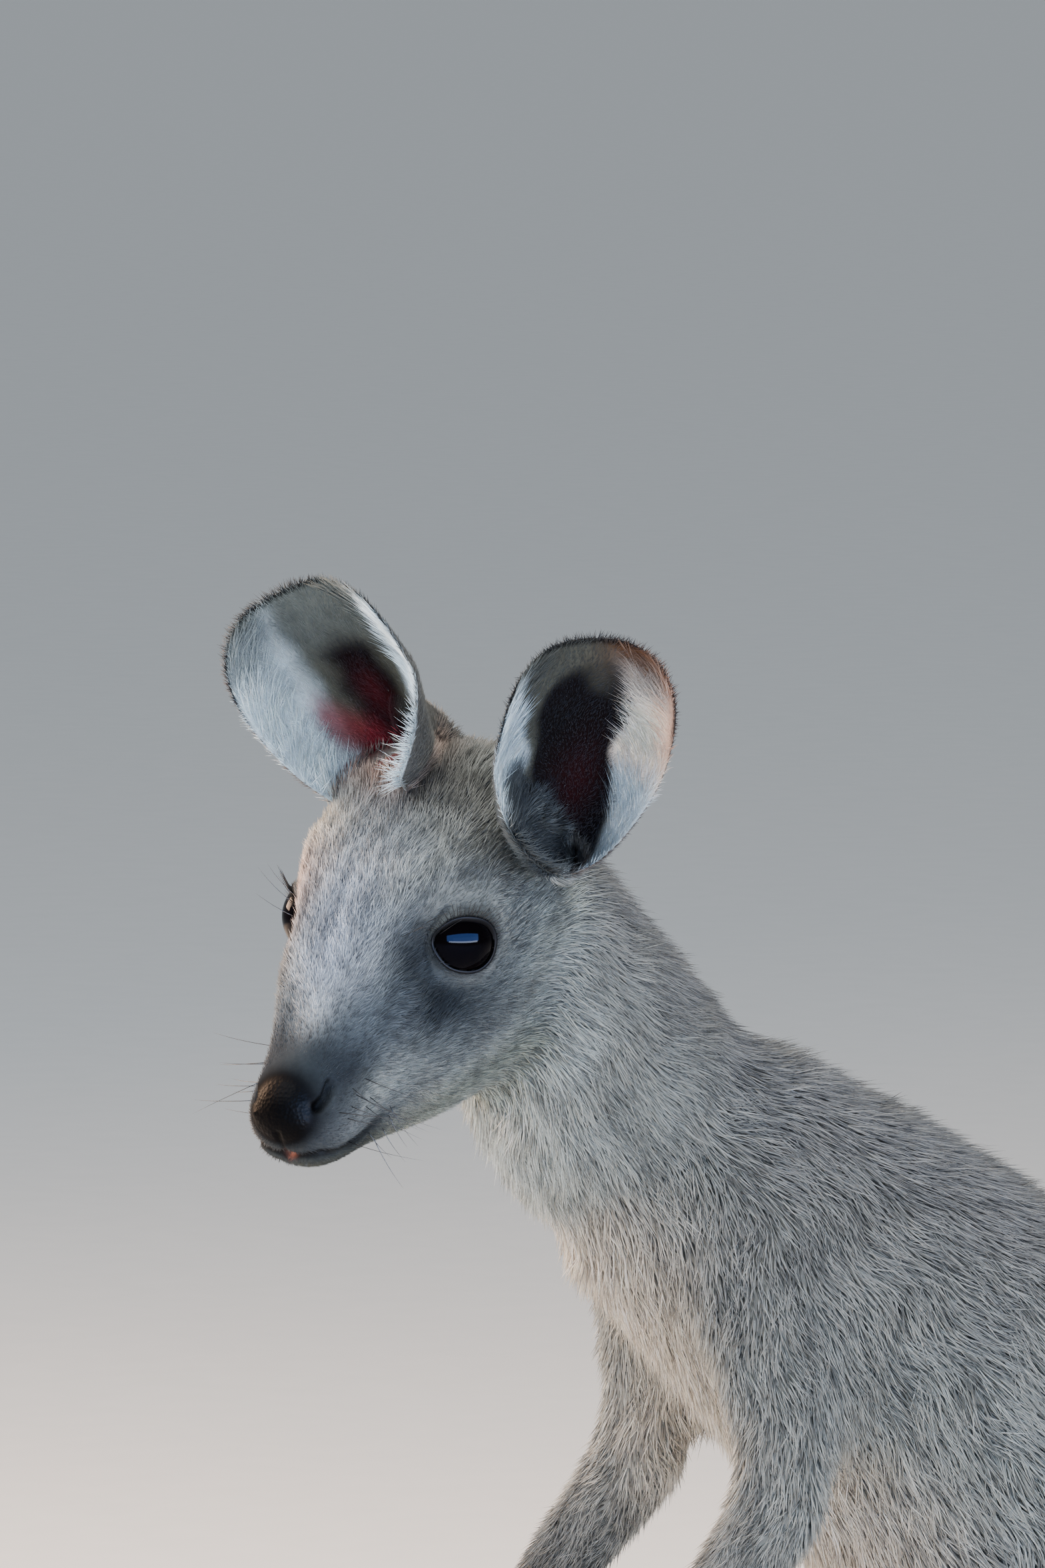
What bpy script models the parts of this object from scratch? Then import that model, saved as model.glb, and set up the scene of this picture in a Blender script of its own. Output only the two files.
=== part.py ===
"""A grey kangaroo joey at life size, standing at rest on its hind feet and tail.

The animal faces +X with its left side towards +Y, and the floor is z = 0. Each sub-part is its own
closed solid. The solids give the outline to the tips of the coat and meet with a thin gap between them.
"""

import math

import bmesh
import bpy
import numpy as np
from mathutils import Matrix, Vector

# Driving dimensions, in metres and degrees.
HEAD_LENGTH = 0.118  # nose to back of the skull, which the rows of the head are drawn for
EAR_LENGTH = 0.067
FOOT_LENGTH = 0.180  # heel to the end of the longest toe, without the claw
TAIL_LENGTH = 0.40
EYE_RADIUS = 0.0105
GAP = 0.0003  # air between two solids that meet

HEAD_PLACE = Vector((0.236, 0.034, 0.418))  # midpoint between the eyes
HEAD_TURN = 34.0  # to its left
HEAD_NOD = 30.0  # nose down
HEAD_ROLL = -5.6  # left side lower

HEAD = Matrix.Translation(HEAD_PLACE) @ (
    Matrix.Rotation(math.radians(HEAD_TURN), 4, "Z")
    @ Matrix.Rotation(math.radians(HEAD_NOD), 4, "Y")
    @ Matrix.Rotation(math.radians(HEAD_ROLL), 4, "X")
    @ Matrix.Scale(HEAD_LENGTH / 0.118, 4)
)
SIDES = {"left": 1, "right": -1}

for old in list(bpy.data.objects):
    bpy.data.objects.remove(old)


# ---------------------------------------------------------------- materials
def material(name, colour, roughness):
    made = bpy.data.materials.new(name)
    made.use_nodes = True
    shader = made.node_tree.nodes["Principled BSDF"]
    shader.inputs["Base Color"].default_value = (*colour, 1)
    shader.inputs["Roughness"].default_value = roughness
    shader.inputs["Metallic"].default_value = 0
    made.diffuse_color = (*colour, 1)
    return made


GREY_FUR = material("grey_fur", (0.28, 0.27, 0.26), 0.9)
PALE_FUR = material("pale_fur", (0.55, 0.51, 0.47), 0.9)
DARK_FUR = material("dark_fur", (0.05, 0.04, 0.035), 0.9)
NOSE_SKIN = material("nose_skin", (0.03, 0.03, 0.035), 0.45)
EYE = material("eye", (0.012, 0.008, 0.008), 0.08)
CLAW = material("claw", (0.03, 0.025, 0.022), 0.35)


# ---------------------------------------------------------------- lofts
def along(rows, steps):
    """Rows of numbers, smoothed by a Catmull-Rom curve with this many steps between each two."""
    rows = np.array(rows, float)
    padded = np.vstack([2 * rows[0] - rows[1], rows, 2 * rows[-1] - rows[-2]])
    made = []
    for k in range(len(rows) - 1):
        a, b, c, d = padded[k : k + 4]
        for t in np.linspace(0, 1, steps, endpoint=False):
            made.append(
                0.5 * (2 * b + (c - a) * t + (2 * a - 5 * b + 4 * c - d) * t**2
                       + (3 * b - a - 3 * c + d) * t**3)
            )
    made.append(rows[-1])
    return np.array(made)


def with_domes(rows, start, end):
    """Adds rounded ends, start and end deep, to the rows (x, y, z, half width, up, down)."""
    rounding = [math.radians(a) for a in (35, 68)]
    rows = [np.array(r) for r in rows]
    front = (rows[0] - rows[1])[:3]
    back = (rows[-1] - rows[-2])[:3]
    front /= np.linalg.norm(front)
    back /= np.linalg.norm(back)
    first, last = rows[0], rows[-1]
    for a in rounding:
        for depth, way, tip, place in ((start, front, first, 0), (end, back, last, len(rows))):
            if depth:
                row = np.r_[tip[:3] + way * depth * math.sin(a), tip[3:] * math.cos(a)]
                rows.insert(0 if place == 0 else len(rows), row)
    return np.array(rows)


def new_object(name, bm, finish, matrix=None):
    bmesh.ops.recalc_face_normals(bm, faces=bm.faces)
    if matrix is not None:
        bm.transform(matrix)
    mesh = bpy.data.meshes.new(name)
    bm.to_mesh(mesh)
    bm.free()
    mesh.materials.append(finish)
    mesh.shade_smooth()
    obj = bpy.data.objects.new(name, mesh)
    bpy.context.scene.collection.objects.link(obj)
    return obj


def loft_mesh(stations, steps=3, sides=24, domes=(0, 0), fullness=(2, 2), across=(0, 1, 0), grow=0.0):
    """A closed tube through stations of (x, y, z, half width, up, down).

    fullness over 2 squares its section, above and below the middle, and under 2 narrows it.
    """
    rows = along(stations, steps)
    rows[:, 3:] += grow
    rows = with_domes(rows, *(depth + grow for depth in domes))
    places = rows[:, :3]
    tangents = np.gradient(places, axis=0)
    tangents /= np.linalg.norm(tangents, axis=1)[:, None]
    bm = bmesh.new()
    rings = []
    for (x, y, z, width, up, down), tangent in zip(rows, tangents):
        side = Vector(across) - Vector(tangent) * Vector(across).dot(tangent)
        side.normalize()
        rise = side.cross(Vector(tangent))
        if rise.z < 0 and abs(tangent[2]) < 0.9 or (abs(tangent[2]) >= 0.9 and rise.x < 0):
            rise = -rise
        ring = []
        for k in range(sides):
            c, s = math.cos(2 * math.pi * k / sides), math.sin(2 * math.pi * k / sides)
            power = 2 / fullness[0 if s > 0 else 1]
            c = math.copysign(abs(c) ** power, c)
            s = math.copysign(abs(s) ** power, s)
            reach = side * width * c + rise * (up if s > 0 else down) * s
            ring.append(bm.verts.new(Vector((x, y, z)) + reach))
        rings.append(ring)
    for one, two in zip(rings, rings[1:]):
        for k in range(sides):
            j = (k + 1) % sides
            bm.faces.new((one[k], one[j], two[j]))
            bm.faces.new((one[k], two[j], two[k]))
    bm.faces.new(rings[0])
    bm.faces.new(rings[-1])
    return bm


def keep_side(bm, point, normal):
    """Cuts the closed mesh by a plane, keeps what lies against the normal, and caps the cut."""
    geometry = bm.verts[:] + bm.edges[:] + bm.faces[:]
    cut = bmesh.ops.bisect_plane(bm, geom=geometry, plane_co=point, plane_no=normal, clear_outer=True)
    edges = [e for e in cut["geom_cut"] if isinstance(e, bmesh.types.BMEdge)]
    bmesh.ops.holes_fill(bm, edges=edges, sides=0)


def bump(bm, centre, reach, lift, away_from):
    """Raises the surface round centre in a soft mound, or lowers it, away from a point inside."""
    for v in bm.verts:
        near = math.exp(-((v.co - centre).length / reach) ** 2)
        v.co += (v.co - away_from).normalized() * lift * near


def boolean(obj, other, operation, solver="EXACT"):
    step = obj.modifiers.new(operation.lower(), "BOOLEAN")
    step.operation = operation
    step.object = other
    step.solver = solver
    other.hide_render = True
    other.display_type = "WIRE"


def mirrored(stations, side):
    return [(x, y * side, z, *rest) for x, y, z, *rest in stations]


# ---------------------------------------------------------------- head
# Rows in the head's own frame, x forward from between the eyes: x, y, z, half width, up, down.
HEAD_ROWS = [
    (0.0555, 0, -0.0245, 0.0128, 0.0128, 0.0130),
    (0.0470, 0, -0.0235, 0.0152, 0.0165, 0.0180),
    (0.0350, 0, -0.0210, 0.0178, 0.0200, 0.0275),
    (0.0200, 0, -0.0165, 0.0226, 0.0262, 0.0415),
    (0.0060, 0, -0.0115, 0.0272, 0.0312, 0.0520),
    (-0.0100, 0, -0.0075, 0.0306, 0.0340, 0.0570),
    (-0.0260, 0, -0.0055, 0.0322, 0.0365, 0.0550),
    (-0.0400, 0, -0.0040, 0.0304, 0.0352, 0.0470),
    (-0.0500, 0, -0.0040, 0.0250, 0.0290, 0.0350),
]
EYES = {side: Vector((-0.0015, 0.0207 * SIDES[side], -0.0012)) for side in SIDES}
EYE_WAYS = {side: Vector((0.60, 0.78 * SIDES[side], 0.15)).normalized() for side in SIDES}
MOUTH_HEIGHT = -0.0318
NOSE_PLACE, NOSE_REACH = (0.0625, 0, -0.0120), (0.0185, 0.0120, 0.0125)
NOSE_PROUD = 0.0004  # how far the pad stands out of the coat round it
JAW_BACK = 0.004
BROW = ((0, 0.0235, 0.015), 0.0145, 0.0042)  # place on the left, reach, lift
LIP_PAD = ((0.048, 0.012, -0.026), 0.010, 0.0016)
BRIDGE_DIP = ((0.040, 0, -0.002), 0.014, -0.0015)
SOCKET_FORWARD, SOCKET_REACH, SOCKET_LIFT = 0.002, 0.0125, -0.0044
SKULL_MIDDLE = Vector((0, 0, -0.012))
MUZZLE_MIDDLE = Vector((0.04, 0, -0.02))


def head_mesh(grow=0.0):
    bm = loft_mesh(HEAD_ROWS, steps=2, sides=18, domes=(0.0066, 0.0125), fullness=(2.4, 2.2), grow=grow)
    for side, sign in SIDES.items():
        for (place, reach, lift), middle in ((BROW, SKULL_MIDDLE), (LIP_PAD, MUZZLE_MIDDLE)):
            bump(bm, Vector((place[0], place[1] * sign, place[2])), reach, lift, middle)
        socket = EYES[side] + EYE_WAYS[side] * EYE_RADIUS + Vector((SOCKET_FORWARD, 0, 0))
        bump(bm, socket, SOCKET_REACH, SOCKET_LIFT, SKULL_MIDDLE)
    place, reach, lift = BRIDGE_DIP
    bump(bm, Vector(place), reach, lift, SKULL_MIDDLE)
    return bm


def box_mesh(low, high):
    bm = bmesh.new()
    bmesh.ops.create_cube(bm, size=1)
    for v in bm.verts:
        v.co = Vector([(a + b) / 2 + c * (b - a) for a, b, c in zip(low, high, v.co)])
    return bm


def ball_mesh(radius, sides=12, rings=8):
    bm = bmesh.new()
    bmesh.ops.create_uvsphere(bm, u_segments=sides, v_segments=rings, radius=radius)
    return bm


def nose_matrix(grow=0.0):
    """Turns a unit ball into the reach of the pad of bare skin round the nostrils."""
    size = Matrix.Diagonal((*(s + grow for s in NOSE_REACH), 1))
    return HEAD @ Matrix.Translation(NOSE_PLACE) @ size


head = new_object("head", head_mesh(), GREY_FUR, HEAD)
JAW_LOW, JAW_HIGH = (JAW_BACK, -0.05, -0.08), (0.09, 0.05, MOUTH_HEIGHT)
jaw_room = new_object("jaw_room", box_mesh(JAW_LOW, JAW_HIGH), GREY_FUR, HEAD)
boolean(head, jaw_room, "DIFFERENCE")

jaw = new_object("lower_jaw", head_mesh(), PALE_FUR, HEAD)
jaw_block = new_object(
    "jaw_block",
    box_mesh((JAW_LOW[0] + GAP, *JAW_LOW[1:]), (*JAW_HIGH[:2], MOUTH_HEIGHT - GAP)),
    PALE_FUR,
    HEAD,
)
boolean(jaw, jaw_block, "INTERSECT")

nose = new_object("nose", head_mesh(NOSE_PROUD), NOSE_SKIN, HEAD)
boolean(nose, new_object("nose_reach", ball_mesh(1), NOSE_SKIN, nose_matrix()), "INTERSECT")
nose_room = new_object("nose_room", ball_mesh(1), NOSE_SKIN, nose_matrix(GAP))
boolean(head, nose_room, "DIFFERENCE")

for side, place in EYES.items():
    new_object("eye_" + side, ball_mesh(EYE_RADIUS), EYE, HEAD @ Matrix.Translation(place))
    room = new_object(
        "eye_room_" + side, ball_mesh(EYE_RADIUS + GAP * 1.4), EYE, HEAD @ Matrix.Translation(place)
    )
    boolean(head, room, "DIFFERENCE")
head_room = new_object("head_room", head_mesh(GAP), GREY_FUR, HEAD)

# ---------------------------------------------------------------- ears
EAR_THICKNESS = 0.0022
EAR_LEAF = 0.0265  # half the width of the ear laid flat
EAR_BEND = (0.0070, 0.027)  # the hollow's radius at the root, and from the middle to the tip
EAR_LEAN = -0.004  # how far the tip stands behind the root
# How much further the side next to the crown wraps round at the root, on the left and the right ear.
EAR_CURL = {-1: 0.75, 1: 1.4}
EAR_CLOSED = math.radians(150)  # and the most that it wraps
# Root of the ear in the head's frame, the way it points, and the way its hollow faces.
EAR_SET = {
    "left": ((-0.0430, 0.0266, 0.0046), (0, 0.417, 0.909), (0.71, 0.68, -0.18)),
    "right": ((-0.0430, -0.0146, 0.0114), (0.154, -0.288, 0.945), (0.88, 0.45, 0.09)),
}


def leaf_half_width(u):
    """Half width of the flat ear at u from 0, the root, to 1, the tip."""
    base = 0.72 + 0.28 * math.sin(min(u / 0.55, 1) * math.pi / 2) ** 1.4
    tip = 1 - (max(u - 0.50, 0) / 0.50) ** 4
    return EAR_LEAF * base * max(tip, 0) ** 0.42


def ear_matrix(root, way, facing):
    up = Vector(way).normalized()
    out = (Vector(facing) - up * Vector(facing).dot(up)).normalized()
    across = up.cross(out)
    turn = Matrix((out, across, up)).transposed().to_4x4()
    return HEAD @ Matrix.Translation(root) @ turn


def ear_mesh(inner_side, rows=9, columns=9):
    """The ear as a bent sheet with thickness: x faces out of the hollow, z runs from root to tip.

    inner_side is the sign of y on the side next to the crown, which curls further round.
    """
    bm = bmesh.new()
    skins = []
    for depth in (0.0, EAR_THICKNESS):
        grid = []
        for i in range(rows + 1):
            u = math.sin(i / rows * math.pi / 2) ** 0.9 * 0.995
            radius = EAR_BEND[0] + (EAR_BEND[1] - EAR_BEND[0]) * min(u / 0.62, 1) ** 0.9
            wrap = max(leaf_half_width(u), EAR_THICKNESS) / radius
            inner_wrap = max(wrap, min(wrap * (1 + EAR_CURL[inner_side] * (1 - u)), EAR_CLOSED))
            lean = EAR_LEAN * u**2
            line = []
            for j in range(columns + 1):
                t = 2 * j / columns - 1
                angle = t * (inner_wrap if t * inner_side > 0 else wrap)
                thin = depth * (1 - 0.45 * abs(t) ** 3)
                r = radius + thin
                place = (radius - r * math.cos(angle) + lean, r * math.sin(angle), u * EAR_LENGTH)
                line.append(bm.verts.new(place))
            grid.append(line)
        skins.append(grid)
    inner, outer = skins
    for i in range(rows):
        for j in range(columns):
            bm.faces.new((inner[i][j], inner[i][j + 1], inner[i + 1][j + 1], inner[i + 1][j]))
            bm.faces.new((outer[i][j], outer[i + 1][j], outer[i + 1][j + 1], outer[i][j + 1]))
    rim = [(i, 0) for i in range(rows)] + [(rows, j) for j in range(columns)]
    rim += [(i, columns) for i in range(rows, 0, -1)] + [(0, j) for j in range(columns, 0, -1)]
    for (i, j), (k, m) in zip(rim, rim[1:] + rim[:1]):
        bm.faces.new((inner[i][j], inner[k][m], outer[k][m], outer[i][j]))
    return bm


for side, (root, way, facing) in EAR_SET.items():
    ear = new_object("ear_" + side, ear_mesh(-SIDES[side]), GREY_FUR, ear_matrix(root, way, facing))
    boolean(ear, head_room, "DIFFERENCE")

# ---------------------------------------------------------------- trunk and neck
TRUNK_ROWS = [
    (-0.032, 0, 0.158, 0.040, 0.036, 0.038),
    (-0.014, 0, 0.190, 0.054, 0.051, 0.058),
    (0.014, 0, 0.232, 0.062, 0.060, 0.070),
    (0.048, 0, 0.273, 0.062, 0.059, 0.069),
    (0.084, 0, 0.308, 0.056, 0.052, 0.060),
    (0.120, 0, 0.336, 0.048, 0.045, 0.051),
    (0.152, 0.001, 0.362, 0.040, 0.038, 0.043),
    (0.176, 0.004, 0.390, 0.034, 0.034, 0.036),
    (0.193, 0.009, 0.414, 0.030, 0.031, 0.031),
    (0.203, 0.012, 0.430, 0.024, 0.026, 0.026),
]
TRUNK_LINE = Vector((0.70, 0, 0.714)).normalized()
WAIST = Vector((0.060, 0, 0.286))
NECK_BASE = Vector((0.156, 0, 0.366))


def trunk_mesh(grow=0.0):
    return loft_mesh(TRUNK_ROWS, steps=2, sides=14, domes=(0.028, 0.008), fullness=(2.1, 2.1), grow=grow)


trunk_parts = {}
for name, low, high, finish in (
    ("hindquarters", None, WAIST, GREY_FUR),
    ("chest", WAIST, NECK_BASE, PALE_FUR),
    ("neck", NECK_BASE, None, GREY_FUR),
):
    solid = trunk_mesh()
    if high:
        keep_side(solid, high - TRUNK_LINE * GAP / 2, TRUNK_LINE)
    if low:
        keep_side(solid, low + TRUNK_LINE * GAP / 2, -TRUNK_LINE)
    trunk_parts[name] = new_object(name, solid, finish)
boolean(trunk_parts["neck"], head_room, "DIFFERENCE")

# ---------------------------------------------------------------- tail
FLOOR = Vector((0, 0, 0))
DOWN = Vector((0, 0, -1))
TAIL_REACH = TAIL_LENGTH / 0.40
TAIL_ROWS = [
    (-0.020, 0, 0.176, 0.032, 0.034, 0.034),
    (-0.062, 0, 0.124, 0.027, 0.029, 0.029),
    (-0.100, 0, 0.074, 0.0225, 0.023, 0.023),
    (-0.138, 0.001, 0.0365, 0.0190, 0.0190, 0.0190),
    (-0.182, 0.004, 0.0175, 0.0165, 0.0165, 0.0178),
    (-0.235, 0.010, 0.0138, 0.0143, 0.0143, 0.0141),
    (-0.290, 0.019, 0.0115, 0.0120, 0.0120, 0.0118),
    (-0.340, 0.030, 0.0092, 0.0095, 0.0095, 0.0095),
    (-0.378, 0.040, 0.0070, 0.0065, 0.0065, 0.0072),
]
TAIL_CUTS = (Vector((-0.112, 0, 0.062)), Vector((-0.250, 0.012, 0.013)))
TAIL_WAYS = (Vector((-0.70, 0, -0.71)), Vector((-0.985, 0.16, -0.03)))


def tail_mesh():
    rows = [(x * TAIL_REACH, y, z, *rest) for x, y, z, *rest in TAIL_ROWS]
    return loft_mesh(rows, steps=2, sides=8, domes=(0, 0.010))


def tail_part(name, before, after):
    """The tail between two of its cuts, each a number in TAIL_CUTS or None."""
    solid = tail_mesh()
    keep_side(solid, FLOOR, DOWN)
    if after is not None:
        way = TAIL_WAYS[after].normalized()
        keep_side(solid, TAIL_CUTS[after] - way * GAP / 2, way)
    if before is not None:
        way = TAIL_WAYS[before].normalized()
        keep_side(solid, TAIL_CUTS[before] + way * GAP / 2, -way)
    return new_object(name, solid, GREY_FUR)


tail_base = tail_part("tail_base", None, 0)
tail_part("tail_middle", 0, 1)
tail_part("tail_end", 1, None)
trunk_room = new_object("trunk_room", trunk_mesh(GAP), GREY_FUR)
boolean(tail_base, trunk_room, "DIFFERENCE")

# ---------------------------------------------------------------- hind legs
THIGH_ROWS = [
    (0.010, 0.036, 0.212, 0.020, 0.042, 0.040),
    (0.030, 0.044, 0.205, 0.030, 0.054, 0.050),
    (0.058, 0.052, 0.190, 0.032, 0.052, 0.048),
    (0.088, 0.058, 0.172, 0.028, 0.042, 0.040),
    (0.112, 0.062, 0.156, 0.023, 0.031, 0.031),
    (0.124, 0.063, 0.146, 0.018, 0.023, 0.024),
]
SHANK_ROWS = [
    (0.118, 0.063, 0.150, 0.0190, 0.0220, 0.0200),
    (0.092, 0.062, 0.124, 0.0200, 0.0240, 0.0220),
    (0.062, 0.060, 0.092, 0.0160, 0.0185, 0.0185),
    (0.034, 0.058, 0.062, 0.0122, 0.0135, 0.0135),
    (0.012, 0.056, 0.038, 0.0108, 0.0120, 0.0125),
    (0.000, 0.056, 0.022, 0.0110, 0.0115, 0.0125),
]
TOE_TIP = FOOT_LENGTH - 0.014
FOOT_ROWS = [
    (-0.010, 0.056, 0.0120, 0.0095, 0.0125, 0.0135),
    (0.006, 0.056, 0.0125, 0.0115, 0.0150, 0.0145),
    (0.034, 0.057, 0.0110, 0.0105, 0.0115, 0.0125),
    (0.070, 0.058, 0.0100, 0.0112, 0.0100, 0.0115),
    (0.100, 0.059, 0.0095, 0.0122, 0.0095, 0.0110),
    (0.126, 0.060, 0.0088, 0.0092, 0.0090, 0.0100),
    (0.150, 0.0605, 0.0082, 0.0078, 0.0075, 0.0092),
    (TOE_TIP, 0.061, 0.0072, 0.0066, 0.0058, 0.0080),
]
OUTER_TOE_ROWS = [
    (0.076, 0.0640, 0.0080, 0.0050, 0.0060, 0.0090),
    (0.104, 0.0715, 0.0072, 0.0056, 0.0060, 0.0080),
    (0.122, 0.0765, 0.0062, 0.0046, 0.0048, 0.0070),
]
INNER_TOE_ROWS = [
    (0.070, 0.0530, 0.0080, 0.0040, 0.0050, 0.0090),
    (0.096, 0.0465, 0.0066, 0.0040, 0.0046, 0.0074),
    (0.112, 0.0438, 0.0056, 0.0036, 0.0038, 0.0062),
]
# Claws as name, root, length, radius at the root, turn towards the outside in degrees.
FOOT_CLAWS = [
    ("long_toe", (TOE_TIP + 0.0055, 0.0612, 0.0072), 0.0175, 0.0042, 1),
    ("outer_toe", (0.1258, 0.0775, 0.0062), 0.0110, 0.0030, 14),
    ("grooming_toe_outer", (0.1148, 0.0455, 0.0056), 0.0060, 0.0014, -6),
    ("grooming_toe_inner", (0.1148, 0.0418, 0.0056), 0.0060, 0.0014, -10),
]


def claw_object(name, root, length, radius, turn, droop, finish=CLAW, sides=6):
    """A claw that tapers and curves down, its flat root at the toe."""
    bm = bmesh.new()
    steps = 3
    rings = []
    for i in range(steps):
        t = i / steps
        r = radius * (1 - t) ** 0.72
        drop = -droop * length * t**2
        rings.append(
            [
                bm.verts.new(
                    (t * length, r * 0.80 * math.cos(a), drop + r * math.sin(a))
                )
                for a in (2 * math.pi * k / sides for k in range(sides))
            ]
        )
    tip = bm.verts.new((length, 0, -droop * length))
    for one, two in zip(rings, rings[1:]):
        for k in range(sides):
            j = (k + 1) % sides
            bm.faces.new((one[k], one[j], two[j], two[k]))
    for k in range(sides):
        bm.faces.new((rings[-1][k], rings[-1][(k + 1) % sides], tip))
    bm.faces.new(rings[0])
    return new_object(name, bm, finish, Matrix.Translation(root) @ turn)


def flat_sole(bm):
    keep_side(bm, FLOOR, DOWN)


for side, sign in SIDES.items():
    thigh = new_object(
        "thigh_" + side, loft_mesh(mirrored(THIGH_ROWS, sign), 1, 12, domes=(0.016, 0.014)), GREY_FUR
    )
    thigh_room = new_object(
        "thigh_room_" + side,
        loft_mesh(mirrored(THIGH_ROWS, sign), 1, 12, domes=(0.016, 0.014), grow=GAP),
        GREY_FUR,
    )
    boolean(trunk_parts["hindquarters"], thigh_room, "DIFFERENCE", "MANIFOLD")
    boolean(trunk_parts["chest"], thigh_room, "DIFFERENCE", "MANIFOLD")
    boolean(tail_base, thigh_room, "DIFFERENCE")
    shank = new_object(
        "shank_" + side, loft_mesh(mirrored(SHANK_ROWS, sign), 1, 10, domes=(0.008, 0.004)), GREY_FUR
    )
    boolean(shank, thigh_room, "DIFFERENCE")
    boolean(shank, trunk_room, "DIFFERENCE")

    shapes = {}
    for grow in (0.0, GAP):
        foot_bm = loft_mesh(mirrored(FOOT_ROWS, sign), 1, 10, domes=(0.007, 0.0052), grow=grow)
        flat_sole(foot_bm)
        foot = new_object(("foot_" if not grow else "foot_room_") + side, foot_bm, GREY_FUR)
        shapes[grow] = foot
    foot = shapes[0.0]
    boolean(shank, shapes[GAP], "DIFFERENCE")
    for toe, rows in (("outer_toe_", OUTER_TOE_ROWS), ("inner_toe_", INNER_TOE_ROWS)):
        toe_bm = loft_mesh(mirrored(rows, sign), 1, 6, domes=(0, 0.0036))
        flat_sole(toe_bm)
        boolean(foot, new_object(toe + side, toe_bm, DARK_FUR), "UNION")
    for name, root, length, radius, turn in FOOT_CLAWS:
        place = Vector((root[0], root[1] * sign, root[2]))
        turned = Matrix.Rotation(math.radians(turn * sign), 4, "Z")
        claw_object(f"claw_{name}_{side}", place, length, radius, turned, 0.12)
        room = claw_object(f"claw_room_{name}_{side}", place, length + GAP, radius + GAP, turned, 0.12)
        room.location.x -= GAP
        boolean(foot, room, "DIFFERENCE")

# ---------------------------------------------------------------- arms and hands
ARM_ROWS = [
    (0.128, 0.032, 0.330, 0.0180, 0.0250, 0.0250),
    (0.131, 0.040, 0.312, 0.0185, 0.0240, 0.0240),
    (0.130, 0.047, 0.288, 0.0155, 0.0185, 0.0185),
    (0.133, 0.051, 0.266, 0.0130, 0.0148, 0.0150),
    (0.148, 0.0525, 0.246, 0.0118, 0.0125, 0.0125),
    (0.167, 0.0520, 0.222, 0.0096, 0.0100, 0.0100),
    (0.180, 0.0505, 0.203, 0.0082, 0.0080, 0.0080),
    (0.186, 0.0495, 0.190, 0.0085, 0.0072, 0.0072),
    (0.190, 0.0485, 0.178, 0.0092, 0.0068, 0.0064),
    (0.193, 0.0480, 0.168, 0.0080, 0.0056, 0.0050),
]
ELBOW = (Vector((0.135, 0.051, 0.262)), Vector((0.35, 0.0, -0.94)))
WRIST = (Vector((0.1815, 0.0503, 0.2005)), Vector((0.48, -0.05, -0.87)))
FINGER_LENGTH = 0.015
FINGER_RADIUS = 0.0026
FINGER_STEP = 0.0028  # between the roots of two fingers
FINGER_TIP_SHOWN = 0.0008  # from the last joint's row to the claw's root
FINGER_SUNK = 0.006  # how deep a finger starts in the hand
FINGER_CLAW = (0.0085, 0.0016, -0.16)  # length, radius and droop
HAND_END = Vector((0.1922, 0.0482, 0.1705))
HAND_WAY = Vector((0.32, -0.06, -0.945)).normalized()
FINGER_SPREAD = (-28, -13, 0, 13, 28)  # degrees, from the thumb's side outwards

for side, sign in SIDES.items():
    parts = {}
    lengths = (("upper_arm_", None, ELBOW), ("forearm_", ELBOW, WRIST), ("hand_", WRIST, None))
    for name, low, high in lengths:
        solid = loft_mesh(mirrored(ARM_ROWS, sign), 1, 10, domes=(0.012, 0.003))
        if high:
            point, way = (Vector((v.x, v.y * sign, v.z)) for v in high)
            way.normalize()
            keep_side(solid, point - way * GAP / 2, way)
        if low:
            point, way = (Vector((v.x, v.y * sign, v.z)) for v in low)
            way.normalize()
            keep_side(solid, point + way * GAP / 2, -way)
        parts[name] = new_object(name + side, solid, DARK_FUR if name == "hand_" else GREY_FUR)
    arm_room = new_object(
        "arm_room_" + side,
        loft_mesh(mirrored(ARM_ROWS, sign), 1, 10, domes=(0.012, 0.003), grow=GAP),
        GREY_FUR,
    )
    boolean(trunk_parts["chest"], arm_room, "DIFFERENCE")

    end = Vector((HAND_END.x, HAND_END.y * sign, HAND_END.z))
    way = Vector((HAND_WAY.x, HAND_WAY.y * sign, HAND_WAY.z))
    across = Vector((0, sign, 0))
    across = (across - way * across.dot(way)).normalized()
    for n, angle in enumerate(FINGER_SPREAD):
        a = math.radians(angle)
        pointing = way * math.cos(a) + across * math.sin(a)
        root = end + across * FINGER_STEP * (n - 2) - pointing * FINGER_SUNK
        reach = FINGER_LENGTH * (1 - 0.13 * abs(n - 2))
        rows = [
            (*(root + pointing * reach * t), *(FINGER_RADIUS * s,) * 3)
            for t, s in ((0.0, 1.0), (1.0, 0.80))
        ]
        finger = new_object(f"finger_{n}_{side}", loft_mesh(rows, 1, 5, domes=(0, 0.0016)), DARK_FUR)
        boolean(parts["hand_"], finger, "UNION", "MANIFOLD")
        tip = root + pointing * (reach + FINGER_TIP_SHOWN)
        turned = pointing.to_track_quat("X", "Z").to_matrix().to_4x4()
        long, radius, droop = FINGER_CLAW
        claw_object(f"claw_finger_{n + 1}_{side}", tip, long, radius, turned, droop, sides=5)
        room = claw_object(
            f"claw_finger_room_{n}_{side}", tip, long + GAP, radius + GAP, turned, droop, sides=5
        )
        room.location = -pointing * GAP
        boolean(parts["hand_"], room, "DIFFERENCE", "MANIFOLD")


# ---------------------------------------------------------------- origin
def shown():
    return [o for o in bpy.context.scene.objects if o.type == "MESH" and not o.hide_render]


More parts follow.
